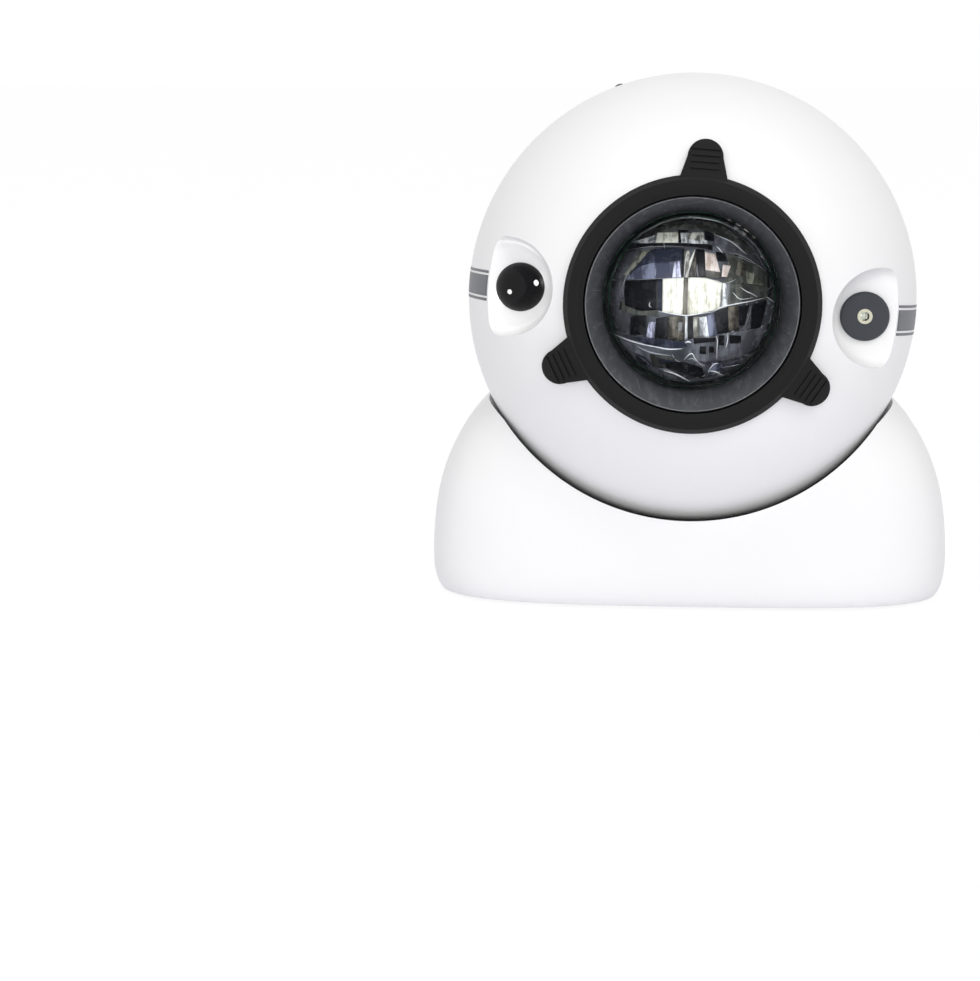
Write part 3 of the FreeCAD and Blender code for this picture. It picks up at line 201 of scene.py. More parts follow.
def moved_patch(place, across=12, along=12):
    """A square grid whose points are put where place(u, v) says, u and v from 0 to 1."""
    deselect()
    bpy.ops.mesh.primitive_grid_add(x_subdivisions=across, y_subdivisions=along, size=1)
    piece = bpy.context.object
    for point in piece.data.vertices:
        point.co = place(point.co.x + 0.5, point.co.y + 0.5)
    return piece


def joined(pieces):
    deselect()
    for piece in pieces:
        piece.select_set(True)
    bpy.context.view_layer.objects.active = pieces[0]
    bpy.ops.object.join()
    return pieces[0]


# Shader helpers

class Value:
    """A shader socket; arithmetic on it adds the Math nodes."""

    def __init__(self, shader, socket):
        self.shader = shader
        self.socket = socket

    def __add__(self, other):
        return self.shader.maths("ADD", self, other)

    def __radd__(self, other):
        return self.shader.maths("ADD", other, self)

    def __sub__(self, other):
        return self.shader.maths("SUBTRACT", self, other)

    def __rsub__(self, other):
        return self.shader.maths("SUBTRACT", other, self)

    def __mul__(self, other):
        return self.shader.maths("MULTIPLY", self, other)

    def __rmul__(self, other):
        return self.shader.maths("MULTIPLY", other, self)


class Shader:
    """A material under construction."""

    def __init__(self, name):
        self.material = bpy.data.materials.new(name)
        self.material.use_nodes = True
        self.tree = self.material.node_tree
        self.tree.nodes.clear()
        self.place = self.add("TexCoord", output="Object")

    def add(self, kind, settings=None, inputs=None, output=0):
        """Adds a node: its settings first, then values or links for its sockets."""
        node = self.tree.nodes.new("ShaderNode" + kind)
        for name, value in (settings or {}).items():
            if name == "stops":
                ramp = node.color_ramp.elements
                while len(ramp) < len(value):
                    ramp.new(1)
                for stop, (position, shade) in zip(ramp, value):
                    stop.position = position
                    stop.color = (*shade, 1) if len(shade) == 3 else shade
            else:
                setattr(node, name, value)
        for name, value in (inputs or {}).items():
            if isinstance(value, Value):
                self.tree.links.new(value.socket, node.inputs[name])
            else:
                node.inputs[name].default_value = value
        return Value(self, node.outputs[output])

    def maths(self, operation, first, second=0):
        return self.add("Math", {"operation": operation}, {0: first, 1: second})

    def noise(self, size, detail=2, rough=0.5, place=None):
        """Noise whose features are about this many metres across."""
        return self.add("TexNoise", {}, {"Vector": place or self.place, "Scale": 1 / size,
                                         "Detail": detail, "Roughness": rough})

    def blend(self, factor, low, high):
        """Mixes two colours by a value."""
        low, high = [(*c, 1) if isinstance(c, tuple) and len(c) == 3 else c for c in (low, high)]
        return self.add("Mix", {"data_type": "RGBA"}, {0: factor, 6: low, 7: high}, 2)

    def steps(self, value, low, high):
        """A smooth step from 0 at low to 1 at high."""
        return self.add("MapRange", {"interpolation_type": "SMOOTHSTEP"},
                        {"Value": value, "From Min": low, "From Max": high})

    def bump(self, height, depth, strength=1.0):
        return self.add("Bump", {}, {"Height": height, "Distance": depth, "Strength": strength})

    def done(self, **inputs):
        named = {name.replace("_", " "): value for name, value in inputs.items()}
        surface = self.add("BsdfPrincipled", {}, named)
        self.add_output(surface)
        return self.material

    def add_output(self, surface):
        output = self.tree.nodes.new("ShaderNodeOutputMaterial")
        self.tree.links.new(surface.socket, output.inputs["Surface"])


def shade(colour, factor):
    return tuple(min(1, channel * factor) for channel in colour)


def moulded(name, colour, gloss, grain, depth, drift=0.03, **uniform):
    """Moulded plastic: a fine eroded grain with a slow drift of tone and gloss."""
    shader = Shader(name)
    fine = shader.noise(grain, 2)
    slow = shader.noise(0.03, 3)
    tone = shader.blend(slow, shade(colour, 1 - drift), shade(colour, 1 + drift))
    rough = gloss + (fine - 0.5) * 0.12 + (slow - 0.5) * 0.1
    return shader.done(Base_Color=tone, Roughness=rough, Normal=shader.bump(fine, depth),
                       **uniform)


def metal(name, colour, gloss, stretch, depth, drift=0.08):
    """Plain or plated metal with fine drawn lines and a little tarnish."""
    shader = Shader(name)
    drawn = shader.add("Mapping", {}, {"Vector": shader.place, "Scale": stretch})
    lines = shader.noise(0.0006, 3, 0.6, drawn)
    slow = shader.noise(0.012, 3)
    tone = shader.blend(slow, shade(colour, 1 - drift), shade(colour, 1 + drift))
    rough = gloss + (lines - 0.5) * 0.2 + (slow - 0.5) * 0.12
    return shader.done(Base_Color=tone, Roughness=rough, Metallic=1.0,
                       Normal=shader.bump(lines, depth))


def printed(name, colour):
    """Flat printing with a slightly broken ink."""
    shader = Shader(name)
    ink = shader.noise(0.0004, 3, 0.6)
    tone = shader.blend(ink, shade(colour, 0.85), shade(colour, 1.2))
    return shader.done(Base_Color=tone, Roughness=0.45 + (ink - 0.5) * 0.1,
                       Normal=shader.bump(ink, 0.000005))


def solder_mask(name, colour):
    """Green lacquer over copper tracks."""
    shader = Shader(name)
    cells = shader.add("TexBrick", {"offset": 0.5},
                       {"Vector": shader.place, "Scale": 260, "Mortar Size": 0.06,
                        "Mortar Smooth": 0.2}, "Fac")
    slow = shader.noise(0.02, 2)
    track = shader.blend(slow, shade(colour, 1.5), shade(colour, 1.9))
    tone = shader.blend(cells, shade(colour, 0.9), track)
    return shader.done(Base_Color=tone, Roughness=0.32 + (slow - 0.5) * 0.2,
                       Normal=shader.bump(cells, 0.00003))


def clear(name, tint, ripple, depth, gloss):
    """Clear moulded plastic with a slow ripple in its surface."""
    shader = Shader(name)
    wave = shader.noise(ripple, 2)
    tone = shader.blend(wave, shade(tint, 0.97), shade(tint, 1.02))
    rough = gloss + wave * 0.02
    return shader.done(Base_Color=tone, Roughness=rough, Transmission_Weight=1.0, IOR=1.12,
                       Normal=shader.bump(wave, depth))


def smoky(name, colour, gloss):
    """Smoky moulded plastic whose tone and gloss vary slowly, with faint mould streaks."""
    shader = Shader(name)
    slow = shader.noise(0.012, 3)
    stretched = shader.add("Mapping", {}, {"Vector": shader.place, "Scale": (1, 0.12, 1)})
    streak = shader.noise(0.0022, 3, 0.6, stretched)
    tone = shader.blend(shader.steps(streak, 0.45, 0.75), colour, shade(colour, 1.5))
    tone = shader.blend(slow * 0.5, tone, shade(colour, 0.75))
    rough = gloss + (streak - 0.5) * 0.15
    return shader.done(Base_Color=tone, Roughness=rough, Specular_IOR_Level=0.0,
                       Normal=shader.bump(streak, 0.00004))


def facet_finish(name, bright, dark, streak, share, gloss=0.22):
    """A facet whose upright streaks of bright and dark are painted reflections, as of a mirror."""
    shader = Shader(name)
    stretched = shader.add("Mapping", {}, {"Vector": shader.place, "Scale": (1, 0.3, 0.14)})
    # Painted reflection: upright streaks and blots of bright and dark.
    lines = shader.noise(streak, 3, 0.6, stretched)
    blots = shader.noise(streak * 1.6, 4, 0.62)
    mask = shader.steps(lines * 0.7 + blots * 0.3, share, share + 0.16)
    tone = shader.blend(mask, dark, bright)
    tone = shader.blend(shader.steps(blots, 0.45, 0.8) * 0.35, tone, shade(bright, 0.55))
    return shader.done(Base_Color=tone, Roughness=gloss + blots * 0.1,
                       Specular_IOR_Level=0.3, Normal=shader.bump(blots, 0.00012))


def film_finish(name, dark, pale):
    """Crinkled clear film over the dark inside of the lens, with painted glints on its folds and a
    painted lighter top.
    """
    shader = Shader(name)
    upright = shader.add("Mapping", {"vector_type": "POINT"},
                         {"Vector": shader.place, "Location": (0, 0, -DOME_HEIGHT / MM),
                          "Scale": (1 / MM, 1 / MM, 1 / MM)})
    across = shader.add("SeparateXYZ", {}, {"Vector": upright}, 0)
    upward = shader.add("SeparateXYZ", {}, {"Vector": upright}, 2)
    folds = shader.noise(0.0042, 4, 0.62)
    fine = shader.noise(0.0016, 3, 0.6)
    clouds = shader.noise(0.009, 2)
    ridge = 1 - shader.maths("ABSOLUTE", folds * 2 - 1, 0) * 6
    # Painted glints: pale flecks along the fold ridges.
    painted_glint = shader.steps(ridge, 0.6, 0.95) * shader.steps(fine, 0.5, 0.66)
    # The places of the painted glints: the lower right and the bottom.
    lower_right = shader.steps(across * 0.75 - upward * 0.6, 5, 14)
    bottom = shader.steps(0 - upward, 10, 17) * shader.steps(across, -8, 4)
    where = shader.maths("MAXIMUM", lower_right, bottom)
    # Painted light: the top is lighter, where the funnel's lip shades the lens.
    upper = shader.steps(upward, 15.5, 18)
    tone = shader.blend(shader.steps(clouds, 0.35, 0.7), dark, pale)
    tone = shader.blend(upper * 0.45, tone, shade(pale, 1.25))
    # A lighter mottle in those places, under the painted glints.
    tone = shader.blend(where * shader.steps(fine, 0.45, 0.7) * 0.5, tone, (0.1, 0.105, 0.1))
    tone = shader.blend(painted_glint * where, tone, (0.72, 0.75, 0.78))
    return shader.done(Base_Color=tone, Roughness=0.25 + fine * 0.15,
                       Specular_IOR_Level=0.25, Normal=shader.bump(folds, 0.0003))


FINISHES = {
    "white_plastic": lambda: moulded("white_plastic", (0.9, 0.9, 0.895), 0.36, 0.0005, 0.00001,
                                     0.008, Coat_Weight=0.1, Coat_Roughness=0.25),
    "grey_plastic": lambda: moulded("grey_plastic", (0.42, 0.43, 0.45), 0.5, 0.0006, 0.00003),
    "dark_rubber": lambda: moulded("dark_rubber", (0.05, 0.05, 0.053), 0.8, 0.0009, 0.00008),
    "steel": lambda: metal("steel", (0.5, 0.5, 0.51), 0.36, (1, 1, 12), 0.00002),
    "screw_steel": lambda: metal("screw_steel", (0.62, 0.62, 0.63), 0.28, (8, 1, 1), 0.00001),
    "magnet": lambda: metal("magnet", (0.6, 0.6, 0.61), 0.2, (1, 1, 1), 0.00001),
    "black_plastic": lambda: moulded("black_plastic", (0.03, 0.03, 0.032), 0.5, 0.0006, 0.00003),
    "circuit_board": lambda: solder_mask("circuit_board", (0.035, 0.14, 0.07)),
    "raw_aluminium": lambda: metal("raw_aluminium", (0.68, 0.69, 0.7), 0.42, (1, 14, 1), 0.00003),
    "led_phosphor": lambda: moulded("led_phosphor", (0.86, 0.72, 0.3), 0.4, 0.0004, 0.00003),
    "mirror_cup": lambda: metal("mirror_cup", (0.88, 0.88, 0.88), 0.08, (1, 1, 1), 0.000005),
    "slate_plastic": lambda: moulded("slate_plastic", (0.03, 0.034, 0.042), 0.42, 0.0005, 0.00001),
    "gold_trim": lambda: metal("gold_trim", (0.7, 0.69, 0.55), 0.35, (1, 1, 1), 0.00001),
    "glossy_black": lambda: moulded("glossy_black", (0.004, 0.004, 0.005), 0.06, 0.002, 0.0,
                                    0.1, Specular_IOR_Level=0.2),
    "ring_black": lambda: moulded("ring_black", (0.009, 0.009, 0.009), 0.5, 0.0005, 0.00002,
                                  0.06, Specular_IOR_Level=0.16),
    "smoke_edge": lambda: moulded("smoke_edge", (0.16, 0.17, 0.18), 0.3, 0.001, 0.00001),
    "smoky_bezel": lambda: smoky("smoky_bezel", (0.13, 0.134, 0.145), 0.6),
    "clear_lens": lambda: clear("clear_lens", (0.93, 0.95, 0.97), 0.006, 0.00002, 0.01),
    "ripple_glass": lambda: clear("ripple_glass", (0.85, 0.88, 0.92), 0.003, 0.0004, 0.05),
    "gear_plastic": lambda: moulded("gear_plastic", (0.8, 0.79, 0.74), 0.45, 0.0006, 0.00002),
    "button_grey": lambda: moulded("button_grey", (0.1, 0.1, 0.105), 0.5, 0.0005, 0.00002),
}
finishes = {}


def finish_of(slot):
    if slot not in finishes:
        finishes[slot] = FINISHES[slot]()
    return finishes[slot]


# Sizes and colours that a user would change

class StageSettings(bpy.types.PropertyGroup):
    """Camera and floor."""
    distance: FloatProperty(
        name="Camera distance", description="From the ball's centre", default=0.8,
        unit="LENGTH")
    azimuth: FloatProperty(
        name="Camera azimuth", description="Round the object, to its right",
        default=math.radians(-0.28), subtype="ANGLE")
    elevation: FloatProperty(
        name="Camera elevation", description="Above the ball's centre",
        default=math.radians(6.2), subtype="ANGLE")
    lens: FloatProperty(
        name="Focal length", description="Of the camera, in millimetres", default=92.65,
        subtype="NONE")
    floor_colour: FloatVectorProperty(
        name="Floor colour", description="What the floor throws back on the object",
        default=(0.8, 0.79, 0.85), size=3, subtype="COLOR")


class ProjectorSettings(bpy.types.PropertyGroup):
    """Holds the stage settings."""
    stage: PointerProperty(type=StageSettings)


# Operators

IMAGE_SIZE = (980, 981)
BALL_PIXEL = (691.2, 297.8)
SENSOR = 36
AIM_STEPS = 12
FLOOR_SIZE = 12
FLOOR_DROP = 0.00002
FLOOR_GLOW = 1.08
FLOOR_GLOW_SHARE = 0.86
WORLD_LIGHT = 0.56


def heading(azimuth, elevation):
    """The unit vector from the object towards a place round it."""
    return Vector((math.sin(azimuth) * math.cos(elevation),
                   -math.cos(azimuth) * math.cos(elevation), math.sin(elevation)))


class PROJECTOR_OT_stage(bpy.types.Operator):
    """Adds the floor, the lamps and the camera."""
    bl_idname = "projector.stage"
    bl_label = "Stage"

    def execute(self, context):
        settings = context.scene.projector.stage
        self.add_camera(context, settings)
        self.add_floor(settings)
        self.add_world()
        self.add_lamps()
        context.scene.view_settings.view_transform = "Standard"
        return {"FINISHED"}

    def add_camera(self, context, settings):
        data = bpy.data.cameras.new("camera")
        camera = bpy.data.objects.new("camera", data)
        context.collection.objects.link(camera)
        data.lens = settings.lens
        data.sensor_width = SENSOR
        eye = BALL_CENTRE + settings.distance * heading(settings.azimuth, settings.elevation)
        pixels = settings.lens / SENSOR * max(IMAGE_SIZE)
        across = (BALL_PIXEL[0] - IMAGE_SIZE[0] / 2) / pixels
        upward = (IMAGE_SIZE[1] / 2 - BALL_PIXEL[1]) / pixels
        turn = (BALL_CENTRE - eye).to_track_quat("-Z", "Y")
        for attempt in range(AIM_STEPS):
            seen = turn.inverted() @ (BALL_CENTRE - eye)
            aim = Vector((seen.x / -seen.z - across, seen.y / -seen.z - upward, -1))
            turn = (turn @ aim).to_track_quat("-Z", "Y")
        camera.matrix_world = Matrix.Translation(eye) @ turn.to_matrix().to_4x4()
        context.scene.camera = camera

    def add_floor(self, settings):
        deselect()
        bpy.ops.mesh.primitive_plane_add(size=FLOOR_SIZE, location=(0, 0, -FLOOR_DROP))
        floor = bpy.context.object
        floor.name = "floor"
        bpy.ops.object.transform_apply(location=True)
        shader = Shader("floor")
        path = shader.add("LightPath", output="Is Camera Ray")
        for ray in ("Is Glossy Ray", "Is Transmission Ray"):
            path = shader.maths("MAXIMUM", path, shader.add("LightPath", output=ray))
        bounce = shader.add("BsdfDiffuse", {}, {"Color": (*settings.floor_colour, 1)})
        glow = shader.add("Emission", {}, {"Color": (1, 1, 1, 1), "Strength": FLOOR_GLOW})
        backdrop = shader.add("MixShader", {}, {0: FLOOR_GLOW_SHARE, 1: bounce, 2: glow})
        shader.add_output(shader.add("MixShader", {}, {0: path, 1: bounce, 2: backdrop}))
        floor.data.materials.append(shader.material)

    def add_world(self):
        world = bpy.data.worlds.new("studio")
        bpy.context.scene.world = world
        world.use_nodes = True
        nodes, links = world.node_tree.nodes, world.node_tree.links
        background = nodes["Background"]
        path = nodes.new("ShaderNodeLightPath")
        level = nodes.new("ShaderNodeMapRange")
        level.inputs["To Min"].default_value = WORLD_LIGHT
        level.inputs["To Max"].default_value = 1.0
        seen = path.outputs["Is Camera Ray"]
        for ray in ("Is Glossy Ray", "Is Transmission Ray"):
            either = nodes.new("ShaderNodeMath")
            either.operation = "MAXIMUM"
            links.new(seen, either.inputs[0])
            links.new(path.outputs[ray], either.inputs[1])
            seen = either.outputs[0]
        links.new(seen, level.inputs["Value"])
        links.new(level.outputs[0], background.inputs["Strength"])
        background.inputs["Color"].default_value = (1, 1, 1, 1)

    def add_lamps(self):
        for name, azimuth, elevation, distance, size, power in LAMPS:
            away = heading(math.radians(azimuth), math.radians(elevation))
            place = Matrix.Translation(BALL_CENTRE + distance * away)
            self.add_lamp(name, size, power, place, away).visible_glossy = False
        for name, across, up, ahead, size, power in SPARKS:
            away = Vector((across, up, ahead))
            middle = Vector((-EYE_X, 0, WELL_FLOOR))
            place = HEAD @ Matrix.Translation((middle + away) * MM)
            spark = self.add_lamp(name, size * MM, power, place, away)
            spark.visible_diffuse = False
            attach(spark, "head")

    def add_lamp(self, name, size, power, place, away):
        """A round lamp that shines against the way it is put, unseen by the camera."""
        data = bpy.data.lights.new(name, "AREA")
        data.shape = "DISK"
        data.size = size
        data.energy = power
        lamp = bpy.data.objects.new(name, data)
        bpy.context.collection.objects.link(lamp)
        lamp.visible_camera = False
        lamp.matrix_world = place @ away.to_track_quat("Z", "Y").to_matrix().to_4x4()
        return lamp


# Name, azimuth, elevation, distance and width in metres, power in watts

LAMPS = [
    ("key", 26, 36, 1.5, 0.7, 4.4),
    ("front", -4, 6, 1.6, 0.9, 9.2),
    ("top", -20, 68, 1.4, 0.9, 3.0),
]

# Sparks beside the receiver's dome: name, place from its middle and width in millimetres

SPARKS = [
    ("spark_right", 9.2, 3.2, 4.4, 3.6, 0.0021),
    ("spark_left", -6.4, -3.6, 7.4, 3.2, 0.0015),
]


class PROJECTOR_OT_finishes(bpy.types.Operator):
    """Gives every CAD node its finish."""
    bl_idname = "projector.finishes"
    bl_label = "Finishes of the CAD nodes"

    def execute(self, context):
        for part in frame["record"]["subparts"]:
            mesh = frame["nodes"][part["node"]].data
            mesh.materials.clear()
            mesh.materials.append(finish_of(part["material_slot"]))
        return {"FINISHED"}


class PROJECTOR_OT_bezel(bpy.types.Operator):
    """Turns the smoky funnel round the dome."""
    bl_idname = "projector.bezel"
    bl_label = "Lens bezel"

    def execute(self, context):
        lip = BEZEL_LIP
        piece = turned([
            (BARREL_RADIUS - lip / 2, BARREL_BACK),
            (BARREL_RADIUS, BARREL_BACK + lip),
            (BARREL_RADIUS, BEZEL_FRONT - lip),
            (BARREL_RADIUS - lip, BEZEL_FRONT),
            (BEZEL_MOUTH, BEZEL_FRONT - lip / 2),
            (BEZEL_MOUTH - lip / 2, BEZEL_FRONT - lip * 2),
            (BEZEL_THROAT, BEZEL_BACK),
            (BEZEL_THROAT, BARREL_BACK)])
        placed(piece, HEAD, "smoky_bezel")
        finish(piece, "barrel", "smoky_bezel", finish_of("smoky_bezel"),
               "lens_bezel", "lens_barrel")
        return {"FINISHED"}


# Streaks of the bezel: from a point of the lip to one near the dome, across the lens axis

BEZEL_STREAKS = [
    ((-26.7, 14.6), (-23.4, 10.0)), ((-30.0, 3.9), (-25.7, 2.7)), ((-29.2, -7.2), (-25.7, -6.4)),
    ((30.3, 6.5), (26.2, 4.5)), ((25.0, -17.8), (21.6, -15.6)), ((-14.6, -25.9), (-15.8, -22.1)),
    ((1.0, -30.2), (3.0, -26.6)), ((13.6, -25.4), (15.1, -21.6)), ((29.4, -8.8), (26.4, -7.6)),
]


# Creases painted as highlights: shine, width and places across the lens axis, X to the right and Y
# up, from the axis

GLINT_CREASES = [
    ("pale", 0.3, [-17.7, 17.9, -15.9, 19.5, -13.6, 21.2, -8.8, 23.6, -4.4, 24.8, 2.2, 25.1, 8.2,
     23.8, 12.7, 21.8, 16.9, 18.7, 20.3, 14.9, 22.8, 10.8]),
    ("pale", 0.3, [22.8, 10.7, 23.1, 10.2, 21.9, 9.5]),
    ("bright", 0.34, [-10, 23.1, -7.5, 24.1, -2.7, 25.1]),
    ("bright", 0.4, [-1.3, 25.2, 2.9, 24.9, 8.1, 23.8]),
    ("silver", 0.34, [-18.1, 17.5, -14.9, 18.5, -11.4, 19.4]),
    ("silver", 0.24, [-13.8, 17.4, -12.4, 17.8, -10.6, 18.5]),
    ("pale", 0.24, [-20.3, 14.9, -16.6, 15.9, -11.6, 16.5, -6.1, 16.7, -2.7, 16.6]),
    ("silver", 0.34, [6.3, 20.1, 10.4, 18.7, 13.2, 16.8, 15.9, 14.3]),
    ("pale", 0.3, [10.7, 14.7, 13.8, 14.5, 17.7, 12.2, 21.8, 9.5]),
    ("pale", 0.22, [11.7, 13.5, 14.2, 13.8, 16.6, 12.1, 19.4, 11.2]),
    ("pale", 0.24, [16, 17.8, 18.2, 16.1]),
    ("bright", 0.5, [20.3, 13.6, 21.4, 12.9]),
    ("bright", 0.4, [7.1, 16.7, 8, 15.9, 8.8, 14.8]),
    ("bright", 0.3, [-8.5, 17.6, -8.3, 16]),
    ("pale", 0.18, [-24.4, 6.1, -20.3, 6.4, -11.6, 7, -6.1, 7.4, -1.3, 7.7, 4.2, 7.6, 8.9, 6.1]),
    ("pale", 0.22, [-20.2, 1.5, -20.8, 3.9, -20.1, 6.1, -18.9, 9, -16.5, 12.1, -13, 15]),
    ("bright", 0.22, [-10.8, 7.9, -10.8, 9.8]),
    ("bright", 0.24, [-2.3, 8.3, -2.3, 12.4, -1.6, 15.3]),
    ("silver", 0.24, [-1.2, 7.9, -1.1, 10, -0.1, 12.4, 0.7, 15.5]),
    ("silver", 0.2, [1.8, 7.7, 1.2, 9.3, 1.4, 11.3]),
    ("silver", 0.26, [9.6, 6, 11.3, 6.2, 12.7, 7.1]),
    ("bright", 0.26, [12, 3.3, 13.2, 1.8, 14.4, 1.1]),
    ("bright", 0.26, [14.1, 4.9, 15.8, 3.5, 17.9, 2.8, 19.3, 1.8]),
    ("silver", 0.2, [18, 9.4, 18.3, 7.3, 17.6, 6.3]),
    ("silver", 0.24, [22.2, 3.5, 23.3, 4.6, 24.5, 5]),
    ("bright", 0.3, [-12.2, 0.3, -13.1, -0.9, -11.9, -1.3]),
    ("bright", 0.3, [-9.8, -2.4, -6.1, -3.1, -3, -3.5, -0.6, -3.5, 2.8, -2.9, 6.2, -2.4]),
    ("bright", 0.34, [6.2, -2.4, 7.9, -1.4, 9.6, -0.7, 14.4, 0.1, 17.9, 0.7, 21.5, 1.4]),
    ("bright", 0.26, [13, 1.9, 14.4, 0.7, 17.9, 1.7]),
    ("bright", 0.4, [22.2, 1.7, 23.9, 0.3, 24.8, -0.1]),
    ("bright", 0.5, [23.5, -1.8, 24.4, -1.1]),
    ("bright", 0.4, [23.1, -6.1, 23.7, -4.5]),
    ("bright", 0.5, [20.7, -7.4, 21, -6.7]),
    ("bright", 0.5, [21.6, -9, 22.2, -8.2]),
    ("pale", 0.2, [15.3, -7.6, 17.2, -3.8, 17.6, -0.7]),
    ("pale", 0.22, [-23.4, -9.4, -18.6, -9.7, -13.6, -10]),
    ("bright", 0.55, [-23, -10.2, -20, -11.2, -15.8, -12.3, -11.6, -13.1]),
    ("bright", 0.45, [-13, -12.7, -9.5, -13.4, -6.1, -13.9, -2.7, -13.5]),
    ("silver", 0.34, [-16.1, -13.2, -13.7, -14.5, -10.6, -15.3, -6.1, -15.7]),
    ("bright", 0.6, [-1.8, -11.7, -0.9, -11, -0.1, -11.7]),
    ("bright", 0.26, [7.2, -9.6, 7.8, -10.6, 7.6, -12.7, 7.6, -16.8]),
    ("bright", 0.42, [10.7, -9.2, 10.9, -11.3, 10.2, -13.2]),
    ("pale", 0.2, [5.2, -11.3, 5.1, -16.8]),
    ("bright", 0.3, [11.7, -8.5, 12.4, -8.1]),
    ("bright", 0.3, [15.7, -7.8, 16.2, -8.1]),
    ("bright", 0.5, [14.8, -16.5, 15.4, -17.2]),
    ("silver", 0.3, [15.6, -15.7, 17.4, -15.4, 18.6, -16.6]),
    ("bright", 0.4, [18.1, -17.2, 18.4, -17.2]),
    ("silver", 0.2, [9.2, -19.3, 11.8, -19.2, 14.6, -18.4]),
    ("bright", 0.4, [-5.7, -15.4, -5, -16.3]),
    ("bright", 0.36, [-4.7, -16.8, -3.5, -17.6]),
    ("bright", 0.32, [-2, -16.8, -0.9, -15.4, 0.4, -14.7, 1.2, -16.8, 3.2, -18.6]),
    ("silver", 0.3, [-0.6, -16.8, 0.7, -15.8, 1.8, -17.9]),
    ("bright", 0.5, [3.5, -22.2, 4.1, -21.8]),
    ("bright", 0.44, [5.1, -20.7, 6.5, -17.9, 8, -17.9]),
    ("bright", 0.4, [5.2, -20.4, 7.3, -20.4, 8.4, -21.5, 9.8, -21.9]),
    ("silver", 0.3, [6.3, -21.7, 9.7, -19.7, 8, -21.9]),
    ("bright", 0.3, [10.5, -21.2, 12, -22.2]),
    ("bright", 0.4, [7.5, -24, 8.2, -23.4]),
    ("bright", 0.55, [-8.1, -20.5, -5.5, -21.1, -3, -22.2, -0.3, -23.9]),
    ("pale", 0.3, [-9.6, -19.7, -6.8, -20.2, -4.1, -21.1]),
    ("pale", 0.24, [-2.7, -24.8, -2.1, -25.1]),
    ("pale", 0.2, [-15.5, -16.3, -12.4, -18.3, -11, -20.5]),
    ("pale", 0.2, [-22.1, -12.1, -17.9, -13.9, -15.5, -16.3]),
]
